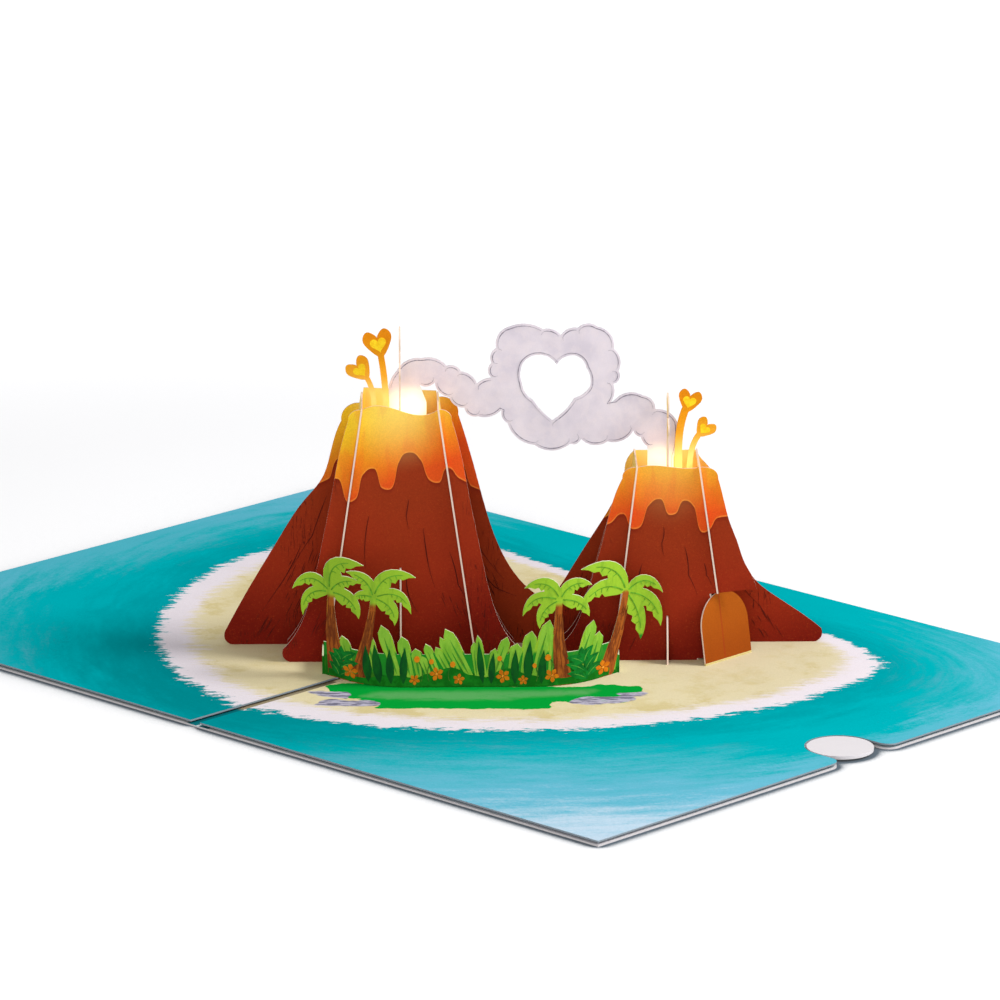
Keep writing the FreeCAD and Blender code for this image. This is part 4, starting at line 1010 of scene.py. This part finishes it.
grass_blades = (
    ((-27.0, 2.0), (-29.4, 10.2), 2.6), ((-20.8, 2.0), (-24.0, 12.6), 2.8), ((-16.2, 2.0), (-20.4, 14.7), 3.0),
    ((-13.4, 2.0), (-15.6, 12.2), 2.8), ((-11.2, 2.0), (-12.4, 9.2), 2.6), ((-8.8, 1.6), (-10.8, 7.6), 1.9),
    ((-6.6, 2.0), (-10.0, 10.4), 2.0), ((-3.6, 2.0), (-7.6, 9.6), 2.0), ((-1.4, 2.0), (-6.6, 12.0), 2.0),
    ((0.8, 2.0), (-5.4, 14.0), 2.7), ((2.2, 2.0), (1.4, 10.8), 1.8), ((4.2, 2.0), (2.2, 12.4), 1.5),
    ((4.6, 2.0), (6.4, 9.2), 2.0), ((6.0, 2.0), (9.2, 12.0), 2.4), ((10.0, 2.0), (11.6, 10.4), 3.1),
    ((13.0, 2.0), (15.0, 13.4), 3.1), ((15.6, 2.0), (19.2, 16.0), 3.1), ((19.4, 2.0), (20.6, 13.2), 2.7),
    ((25.4, 2.0), (29.6, 14.4), 2.8), ((28.6, 2.0), (31.0, 11.2), 2.7), ((34.2, 1.0), (34.6, 9.2), 2.0))
grass = Ink(on_strip, 0.03)
for foot, tip, width in grass_blades:
    widths = [width * (0.55 + 0.4 * u / 10) for u in range(8)] + [0.93 * width, 0.72 * width, 0.1]
    grass.ribbon(bent_line(foot, tip, 0.0, 10), widths)
grass.finish("grass_blades", ink_material("grass_ink", GRASS, ink(112, 164, 46), 0.5, (1, 1, 0.3)))
ribs = Ink(on_strip, 0.09)
for crown, leaves in palm_leaves:
    for tip, bow, width in leaves:
        line = bent_line(crown, tip, bow, 14)
        ribs.ribbon(line[1:12], [0.3 - 0.018 * index for index in range(11)])
        for index in (5, 7, 9):
            run = line[index + 1] - line[index]
            lower = Vector((run.y, -run.x)).normalized() * math.copysign(1, bow)
            tick = line[index] + lower * width * 0.26 + run * 0.4
            ribs.ribbon([line[index], (line[index] + tick) / 2 + run * 0.1, tick], [0.16, 0.14, 0.06])
ribs.finish("leaf_ribs", ink_material("leaf_rib_ink", LEAF_LINE, ink(96, 160, 44)))
grass_ribs = Ink(on_strip, 0.06)
for foot, tip, width in grass_blades:
    line = bent_line(foot, tip, 0.15, 10)
    grass_ribs.ribbon(line[1:9], leaf_widths(7, 0.2 * width))
grass_ribs.finish("grass_ribs", ink_material("grass_rib_ink", ink(56, 132, 40), LEAF_LINE))

trunk_feet = Ink(on_strip, 0.095)
bark = Ink(on_strip, 0.12)
for top, bend, foot, thin, middle, thick in palm_trunks:
    neck = Vector(bend).lerp(Vector(top), 0.45)
    share = [index / 6 for index in range(7)]
    trunk_feet.ribbon([neck] + [Vector(bend).lerp(Vector(foot), u) for u in share],
                      [thin * 0.45 + middle * 0.55 - 0.6] + [middle + (thick - middle) * u - 0.2 for u in share])
    for side, wave in ((-0.28, 0.1), (0.04, -0.12), (0.3, 0.08)):
        upper = bent_line((top[0] + side * thin, top[1] - 3.0), (bend[0] + side * middle, bend[1]), wave, 6)
        lower = bent_line((bend[0] + side * middle, bend[1]), (foot[0] + side * thick, foot[1] + 1.0), wave, 6)
        bark.ribbon(upper[:-1] + lower, leaf_widths(12, 0.34 + 0.1 * abs(side)))
trunk_feet.finish("trunk_feet", ink_material("trunk_ink", TRUNK, TRUNK_LINE, 0.9, (1, 1, 0.25)))
bark.finish("palm_bark", ink_material("bark_ink", TRUNK_LINE, ink(122, 62, 24)))

# %% [markdown]
# The turf is a low row of mounds that hides the feet of the grass. It is one long ribbon of ink whose
# middle line and width follow the tops of the mounds, and those are typed as (along, height).

# %% Turf
mounds = ((-32.6, 2.0), (-28.5, 1.5), (-24.0, 1.6), (-20.0, 2.6), (-16.5, 2.9), (-12.5, 2.2), (-9.0, 3.4),
          (-4.0, 4.8), (0.5, 3.0), (4.0, 2.4), (9.5, 4.6), (14.0, 3.0), (18.0, 2.2), (23.0, 1.8), (28.0, 2.8),
          (34.2, 1.8))
turf = Ink(on_strip, 0.13)
middles = []
widths = []
for (start, low), (end, high) in zip(mounds, mounds[1:]):
    for step in range(6):
        share = step / 6
        top = low + (high - low) * (3 - 2 * share) * share ** 2
        middles.append((start + (end - start) * share, top / 2 + 0.1))
        widths.append(top - 0.2)
turf.ribbon(middles, widths)
turf.finish("turf", ink_material("turf_ink", GROUND, ink(20, 112, 24), 0.4))

# %% [markdown]
# In front of the pale grass stand darker plants: pointed blades in clumps, and two sprigs with pairs
# of broad leaves. They give the strip its depth, as every print of this kind is layered light
# behind dark.

# %% Dark plants
dark_blades = (((-23.2, 0.8), (-23.9, 9.6), 1.6), ((-20.6, 0.7), (-21.9, 10.0), 1.7), ((-18.0, 0.8), (-18.4, 9.2), 1.5),
               ((-15.2, 0.9), (-14.8, 9.8), 1.5), ((3.5, 0.9), (2.5, 11.2), 1.3), ((5.4, 0.8), (6.0, 8.4), 1.3),
               ((11.0, 0.8), (11.2, 9.2), 1.5), ((14.0, 0.8), (14.6, 11.4), 1.8), ((17.2, 0.8), (17.8, 9.0), 1.5))
blades = Ink(on_strip, 0.16)
for foot, tip, width in dark_blades:
    blades.ribbon(bent_line(foot, tip, 0.12, 12), leaf_widths(12, width * 1.25, 0.42))
blades.finish("dark_blades", ink_material("dark_blade_ink", ink(14, 84, 26), ink(10, 66, 26), 0.6, (1, 1, 0.3)))
sprigs = (((-30.0, 0.7), (-29.4, 6.0), (((0.0, -2.4, 3.0), (0.36, -2.7, 3.4), (0.7, -2.0, 2.6)),
                                        ((0.02, 4.4, 1.7), (0.36, 4.2, 2.2), (0.72, 3.4, 2.6)))),
          ((27.8, 0.7), (26.8, 6.6), (((0.0, -4.6, 2.0), (0.32, -4.6, 2.4), (0.66, -4.0, 2.0)),
                                      ((0.08, 3.8, 3.0), (0.38, 3.2, 3.6), (0.7, 2.2, 3.8)))))
broad = Ink(on_strip, 0.19)
broad_ribs = Ink(on_strip, 0.23)
for foot, top, sides in sprigs:
    stem = bent_line(foot, top, -0.2, 8)
    broad.ribbon(stem, [0.42] * 9)
    broad.ribbon(bent_line(stem[7], stem[8] + Vector((-0.2, 2.2)), 0.1, 8), leaf_widths(8, 1.5, 0.4))
    for side, pairs in enumerate(sides):
        for share, across, up in pairs:
            start = Vector(foot).lerp(Vector(top), share)
            leaf = bent_line(start, start + Vector((across, up)), 0.5 if side else -0.5, 9)
            broad.ribbon(leaf, leaf_widths(9, 2.0, 0.48))
            broad_ribs.ribbon(leaf[1:8], leaf_widths(6, 0.16))
broad.finish("broad_leaves", ink_material("broad_leaf_ink", ink(14, 116, 38), ink(10, 92, 30), 0.6))
broad_ribs.finish("broad_leaf_ribs", ink_material("broad_rib_ink", ink(96, 158, 60), ink(60, 132, 50)))

# %% [markdown]
# Small orange flowers lie in the turf, five petals round a darker eye, and round buds hang from thin
# bent stems. Their places are typed one by one, so that the row looks planted and not repeated.

# %% Flowers and buds
flower_places = ((-27.4, 2.6, 1.8, 0.2), (-12.6, 1.9, 1.3, 0.9), (-7.4, 3.3, 1.7, 0.5), (-2.2, 2.0, 1.4, 0.1),
                 (8.2, 2.7, 1.7, 0.7), (12.9, 1.7, 1.2, 0.3), (19.6, 2.7, 1.7, 1.0), (31.6, 2.5, 1.8, 0.4))
petals = Ink(on_strip, 0.23)
eyes = Ink(on_strip, 0.27)
for along, up, size, turn in flower_places:
    middle = Vector((along, up))
    for petal in range(5):
        angle = turn + petal * math.tau / 5
        tip = middle + Vector((math.cos(angle), math.sin(angle))) * size
        petals.ribbon(bent_line(middle, tip, 0.06, 7), leaf_widths(7, size * 0.62, 0.62))
    eyes.ribbon(bent_line(middle - Vector((0.3, 0.0)), middle + Vector((0.3, 0.0)), 0.0, 6), leaf_widths(6, 0.6, 0.5))
petals.finish("flowers", ink_material("flower_ink", FLOWER, ink(186, 98, 14)))
eyes.finish("flower_eyes", ink_material("flower_eye_ink", FLOWER_EYE, ink(232, 160, 60)))

bud_stems = (((-11.0, 1.5), (-12.0, 6.9), -0.7, 1.1), ((-9.2, 1.5), (-8.6, 6.3), 0.6, 0.9),
             ((-4.4, 1.6), (-3.6, 5.6), 0.6, 1.0), ((8.0, 3.5), (7.4, 7.0), -0.6, 0.9),
             ((19.8, 3.6), (18.7, 7.1), -0.7, 1.1), ((16.0, 1.4), (15.6, 5.2), -0.5, 0.8))
stems = Ink(on_strip, 0.2)
buds = Ink(on_strip, 0.24)
for foot, top, bow, size in bud_stems:
    stems.ribbon(bent_line(foot, top, bow, 10), [0.2] * 11)
    middle = Vector(top)
    turns = [index * math.tau / 14 for index in range(14)]
    buds.shape([(middle.x + math.cos(a) * size * 0.62, middle.y + math.sin(a) * size * 0.7) for a in turns])
stems.finish("bud_stems", ink_material("stem_ink", ink(40, 92, 30), ink(66, 110, 34)))
buds.finish("buds", ink_material("bud_ink", ink(208, 124, 22), FLOWER))

# %% [markdown]
# The rock has long scratchy cracks that follow the slope. A few are placed one by one, as lines of
# (along, up) points from a mountain's centre, and small clusters of short strokes are scattered
# with a fixed seed, so that every run draws the same ones.

# %% Cracks in the rock
crack_sets = (
    ("left_front", front_plane, left_centre,
     (((-7.4, 36.0), (-8.4, 29.0), (-8.0, 22.0)), ((5.4, 33.0), (6.4, 25.0), (8.6, 17.0)),
      ((1.4, 22.0), (2.0, 16.0), (4.4, 11.5)), ((11.6, 27.0), (13.6, 19.0), (17.4, 11.0)),
      ((-14.2, 19.0), (-17.4, 11.0), (-20.6, 6.0)), ((2.0, 40.0), (1.4, 36.0), (2.2, 32.0))),
     ((-18.0, 9.5, -0.45), (13.5, 13.0, 0.4))),
    ("left_back", back_plane, left_centre,
     (((-17.4, 37.0), (-21.0, 27.0), (-27.0, 17.0)), ((-23.6, 25.0), (-28.6, 15.0), (-34.0, 7.0)),
      ((15.4, 34.0), (19.4, 23.0), (26.0, 14.6)), ((17.6, 21.0), (22.6, 14.0), (29.0, 11.4))),
     ((-26.0, 13.0, -0.5), (-31.5, 7.0, -0.6), (-21.0, 21.0, -0.35), (21.0, 17.0, 0.5))),
    ("right_front", front_plane, right_centre,
     (((-6.0, 24.0), (-6.8, 18.0), (-9.0, 12.0)), ((4.0, 28.0), (5.0, 21.0), (7.4, 15.0)),
      ((8.6, 24.0), (9.2, 21.0), (10.6, 18.0)), ((-1.0, 33.0), (-1.4, 29.0), (-0.6, 25.0))),
     ((-13.0, 7.0, -0.45),)),
    ("right_back", back_plane, right_centre,
     (((13.0, 25.0), (17.6, 15.0), (24.0, 8.0)), ((-13.4, 25.0), (-16.6, 17.0), (-21.0, 11.6))),
     ((23.0, 6.4, 0.6), (-17.6, 14.0, -0.5))))
crack_ink = ink_material("crack_ink", ROCK_LINE, ink(94, 26, 14), 0.9, (1, 1, 0.2))
scatter = random.Random(4)
for name, plane, centre, long_cracks, clusters in crack_sets:
    cracks = Ink(on_front(plane), 0.05)
    for line in long_cracks:
        points = []
        for start, end in zip(line, line[1:]):
            points += bent_line((start[0] + centre, start[1]), (end[0] + centre, end[1]),
                                scatter.uniform(-0.3, 0.3), 6)[:6]
        cracks.ribbon(points, leaf_widths(len(points) - 1, 0.24, 0.35))
    for along, up, slope in clusters:
        for _ in range(11):
            start = Vector((centre + along + scatter.gauss(0, 1.9), up + scatter.gauss(0, 2.3)))
            size = min(scatter.uniform(1.2, 3.6), start.y - 1.0)
            if size < 0.6:
                continue
            end = start + Vector((slope * size, -size))
            cracks.ribbon(bent_line(start, end, scatter.uniform(-0.15, 0.15), 5), leaf_widths(5, 0.17, 0.4))
    cracks.finish(name + "_cracks", crack_ink)

# %% [markdown]
# Each lava heart has a smaller, brighter heart printed inside it. A heart is one closed curve, turned
# and scaled to its place.


# %% Bright inner hearts
def heart_outline(middle, size, turn):
    """A heart's outline, point by point."""
    points = []
    for index in range(36):
        angle = index * math.tau / 36
        across = math.sin(angle) ** 3 * size / 2
        up = (13 * math.cos(angle) - 5 * math.cos(2 * angle) - 2 * math.cos(3 * angle) - math.cos(4 * angle)) / 32 * size
        points.append(Vector((across, up)))
    cos, sin = math.cos(math.radians(turn)), math.sin(math.radians(turn))
    return [(middle[0] + p.x * cos - p.y * sin, middle[1] + p.x * sin + p.y * cos) for p in points]


inner_hearts = Ink(on_front(middle_plane - paper), 0.06)
for middle, size, turn in (((-20.7, 75.9), 3.9, 14.0), ((-25.0, 69.6), 3.3, 40.0),
                           ((52.8, 61.6), 3.2, -14.0), ((56.4, 54.9), 2.7, -40.0)):
    inner_hearts.shape(heart_outline(middle, size, turn))
inner_hearts.finish("inner_hearts", ink_material("bright_heart_ink", ink(238, 204, 40), ink(230, 186, 30)))

# %% [markdown]
# A fine pencil line runs round the smoke, just inside its edge, and it stops and curls in wherever two
# puffs meet. The line is drawn from the sheet's own outline: the edges that only one front face
# uses are its border, the border's sharp corners are where puffs meet, and each puff gets one line.


# %% Pencil round the smoke
def front_outlines(name):
    """Closed outlines of a slice's front face, as (along, up) in millimetres."""
    mesh = nodes[name].data
    toward = Vector((DIAGONAL, -DIAGONAL, 0.0))
    uses = {}
    for face in mesh.polygons:
        if face.normal.dot(toward) < 0.9:
            continue
        corners = [tuple(round(value, 7) for value in mesh.vertices[index].co) for index in face.vertices]
        for start, end in zip(corners, corners[1:] + corners[:1]):
            if (end, start) in uses:
                del uses[(end, start)]
            else:
                uses[(start, end)] = True
    following = dict(uses.keys())
    outlines = []
    while following:
        start, place = next(iter(following.items()))
        loop = [start]
        del following[start]
        while place != loop[0] and place in following:
            loop.append(place)
            place = following.pop(place)
        outlines.append([Vector(((x + y) * DIAGONAL / MM, z / MM - page_top)) for x, y, z in loop])
    return outlines


def pencil_lines(outline, inset=0.55, sharp=0.42):
    """One line for each puff: inside the outline, between its sharp inward corners."""
    count = len(outline)
    runs = [(outline[(i + 1) % count] - outline[i]).normalized() for i in range(count)]
    turns = [runs[i - 1].x * runs[i].y - runs[i - 1].y * runs[i].x for i in range(count)]
    corners = [i for i in range(count) if abs(turns[i]) > sharp]
    lines = []
    for first, last in zip(corners, corners[1:] + [corners[0] + count]):
        points = [outline[i % count] for i in range(first, last + 1)]
        if len(points) < 6:
            continue
        line = []
        for i, point in enumerate(points[:-1]):
            run = runs[(first + i) % count]
            line.append(point + Vector((-run.y, run.x)) * inset + run * 0.2)
        tail = runs[(last - 1) % count]
        inward = Vector((-tail.y, tail.x))
        if turns[last % count] < 0:
            line += [points[-1] + inward * (inset + 0.15) + tail * 0.3,
                     points[-1] + inward * (inset + 0.7) + tail * 0.7]
        lines.append(line)
    return lines


pencil = Ink(on_front(middle_plane + paper), 0.05)
for outline in front_outlines("smoke_heart"):
    for line in pencil_lines(outline):
        pencil.ribbon(line, leaf_widths(len(line) - 1, 0.2, 0.5))
pencil.finish("pencil_lines", ink_material("pencil_ink", PENCIL, ink(160, 152, 164), 1.5))

# %% [markdown]
# The lights are small: a warm lamp on three steel button cells in a plastic clip. The lamp's shader
# gives off light itself, and a soft lamp of Blender's own in each crater spreads it over the paper.


# %% Materials: the crater lights
def lamp_glow():
    material, w = new_material("lamp_glow")
    place = w.use(PLACE)
    tint = w.mix(w.noise(place["Place"], 0.8), ink(255, 226, 150), ink(255, 240, 200))
    shader = finish_paper(w, tint, rough=0.3, glow=tint, glow_strength=3.0)
    shader.inputs["Coat Weight"].default_value = 0.4
    return material


def cell_steel():
    material, w = new_material("cell_steel")
    place = w.use(PLACE)
    layer = w.math("ABSOLUTE", w.math("SUBTRACT", w.math("FRACT", w.math("DIVIDE", place["Up"], 1.6)), 0.5))
    colour = w.mix(w.smooth(layer, 0.46, 0.5), ink(196, 194, 188), ink(70, 68, 66))
    shader = finish_paper(w, colour, w.noise(place["Place"], 6.0), rough=0.3)
    shader.inputs["Metallic"].default_value = 1.0
    return material


def clip_plastic():
    material, w = new_material("clip_plastic")
    place = w.use(PLACE)
    colour = w.mix(w.noise(place["Place"], 1.5), ink(232, 228, 216), ink(222, 216, 202))
    finish_paper(w, colour, w.noise(place["Place"], 4.0), rough=0.45)
    return material


LAMP, CELL, CLIP = lamp_glow(), cell_steel(), clip_plastic()
for side in ("left", "right"):
    dress(LAMP, side + "_lamp")
    dress(CELL, side + "_button_cells")
    dress(CLIP, side + "_lamp_clip")
print("crater lights dressed")

# %% [markdown]
# A studio shot of a card uses a white sweep and large soft lamps. The floor is a pale plane that the
# camera sees as white, but that still takes the card's shadow. An Ambient Occlusion node finds the
# narrow strip where the card's edge shuts out the sky, and turns it blue-grey. The world is an even
# grey-white dome that the camera also sees as white.


# %% Floor, world and lamps
def white_floor():
    size = 6.0
    mesh = bpy.data.meshes.new("floor")
    corners = [(-size, -size, 0.0), (size, -size, 0.0), (size, size, 0.0), (-size, size, 0.0)]
    mesh.from_pydata(corners, [], [(0, 1, 2, 3)])
    floor = bpy.data.objects.new("floor", mesh)
    bpy.context.scene.collection.objects.link(floor)
    material, w = new_material("floor_paint")
    shader = w.node("BsdfPrincipled")
    shut = w.node("AmbientOcclusion", samples=16)
    shut.inputs["Distance"].default_value = 0.03
    crease = w.smooth(shut.outputs["AO"], 1.0, 0.8)
    w.put(shader.inputs["Base Color"], w.mix(crease, (0.86, 0.86, 0.87, 1.0), (0.06, 0.085, 0.11, 1.0)))
    shader.inputs["Roughness"].default_value = 0.9
    shader.inputs["Specular IOR Level"].default_value = 0.1
    path = w.node("LightPath")
    seen = w.math("MAXIMUM", path.outputs["Is Camera Ray"],
                  w.math("MAXIMUM", path.outputs["Is Glossy Ray"], path.outputs["Is Transmission Ray"]))
    place = w.node("TexCoord").outputs["Object"]
    far = w.smooth(w.node("VectorMath", place, operation="LENGTH").outputs["Value"], 0.2, 0.7)
    lift = w.node("MapRange", far, 0.0, 1.0, 0.04, 1.0).outputs[0]
    glow = w.node("Emission", (1.0, 1.0, 1.0, 1.0), w.math("MULTIPLY", seen, lift))
    both = w.node("AddShader", shader.outputs[0], glow.outputs[0])
    output = w.node("OutputMaterial")
    w.put(output.inputs["Surface"], both.outputs[0])
    mesh.materials.append(material)
    return floor


def white_world():
    world = bpy.data.worlds.new("studio")
    bpy.context.scene.world = world
    world.use_nodes = True
    world.node_tree.nodes.clear()
    w = Wiring(world.node_tree)
    path = w.node("LightPath")
    seen = w.math("MAXIMUM", path.outputs["Is Camera Ray"],
                  w.math("MAXIMUM", path.outputs["Is Glossy Ray"], path.outputs["Is Transmission Ray"]))
    strength = w.node("MapRange", seen, 0.0, 1.0, 0.5, 1.0).outputs[0]
    sky = w.node("Background", (1.0, 1.0, 1.0, 1.0), strength)
    output = w.node("OutputWorld")
    w.put(output.inputs["Surface"], sky.outputs[0])


def soft_lamp(name, place, size, power, colour=(1.0, 1.0, 1.0)):
    data = bpy.data.lights.new(name, "AREA")
    data.shape = "DISK"
    data.size = size
    data.energy = power
    data.color = colour
    lamp = bpy.data.objects.new(name, data)
    bpy.context.scene.collection.objects.link(lamp)
    lamp.location = place
    lamp.rotation_euler = Vector(place).to_track_quat("Z", "Y").to_euler()
    return lamp


white_floor()
white_world()
soft_lamp("key_lamp", lattice_point(950.0, -170.0, 850.0), 0.5, 15.5)
soft_lamp("front_lamp", lattice_point(-150.0, -1500.0, 420.0), 1.2, 13.0)
for centre, rim, power in ((left_centre, left_rim, 0.0018), (right_centre, right_rim, 0.0013)):
    data = bpy.data.lights.new("crater_light", "POINT")
    data.energy = power
    data.color = (1.0, 0.78, 0.4)
    data.shadow_soft_size = 0.003
    crater = bpy.data.objects.new("crater_light", data)
    crater.location = lattice_point(centre + 1.0, -11.0, rim - 3.5)
    bpy.context.scene.collection.objects.link(crater)
print("studio ready")

# %% [markdown]
# The camera stands where the photographer stood: far away with a long lens, so the card looks almost
# without perspective. Its place and angle come from matching the card's corners and fold.

# %% Camera
camera_azimuth = 43.97
camera_elevation = 15.30
camera_place = (1.09544, -1.12383, 0.46629)
lens_length = 245.5
data = bpy.data.cameras.new("camera")
data.lens = lens_length
data.sensor_width = 36.0
data.clip_end = 30.0
camera = bpy.data.objects.new("camera", data)
camera.location = camera_place
camera.rotation_euler = (math.radians(90.0 - camera_elevation), 0.0, math.radians(camera_azimuth))
bpy.context.scene.collection.objects.link(camera)
bpy.context.scene.camera = camera
bpy.context.scene.view_settings.view_transform = "Standard"
print("camera at", camera_place)
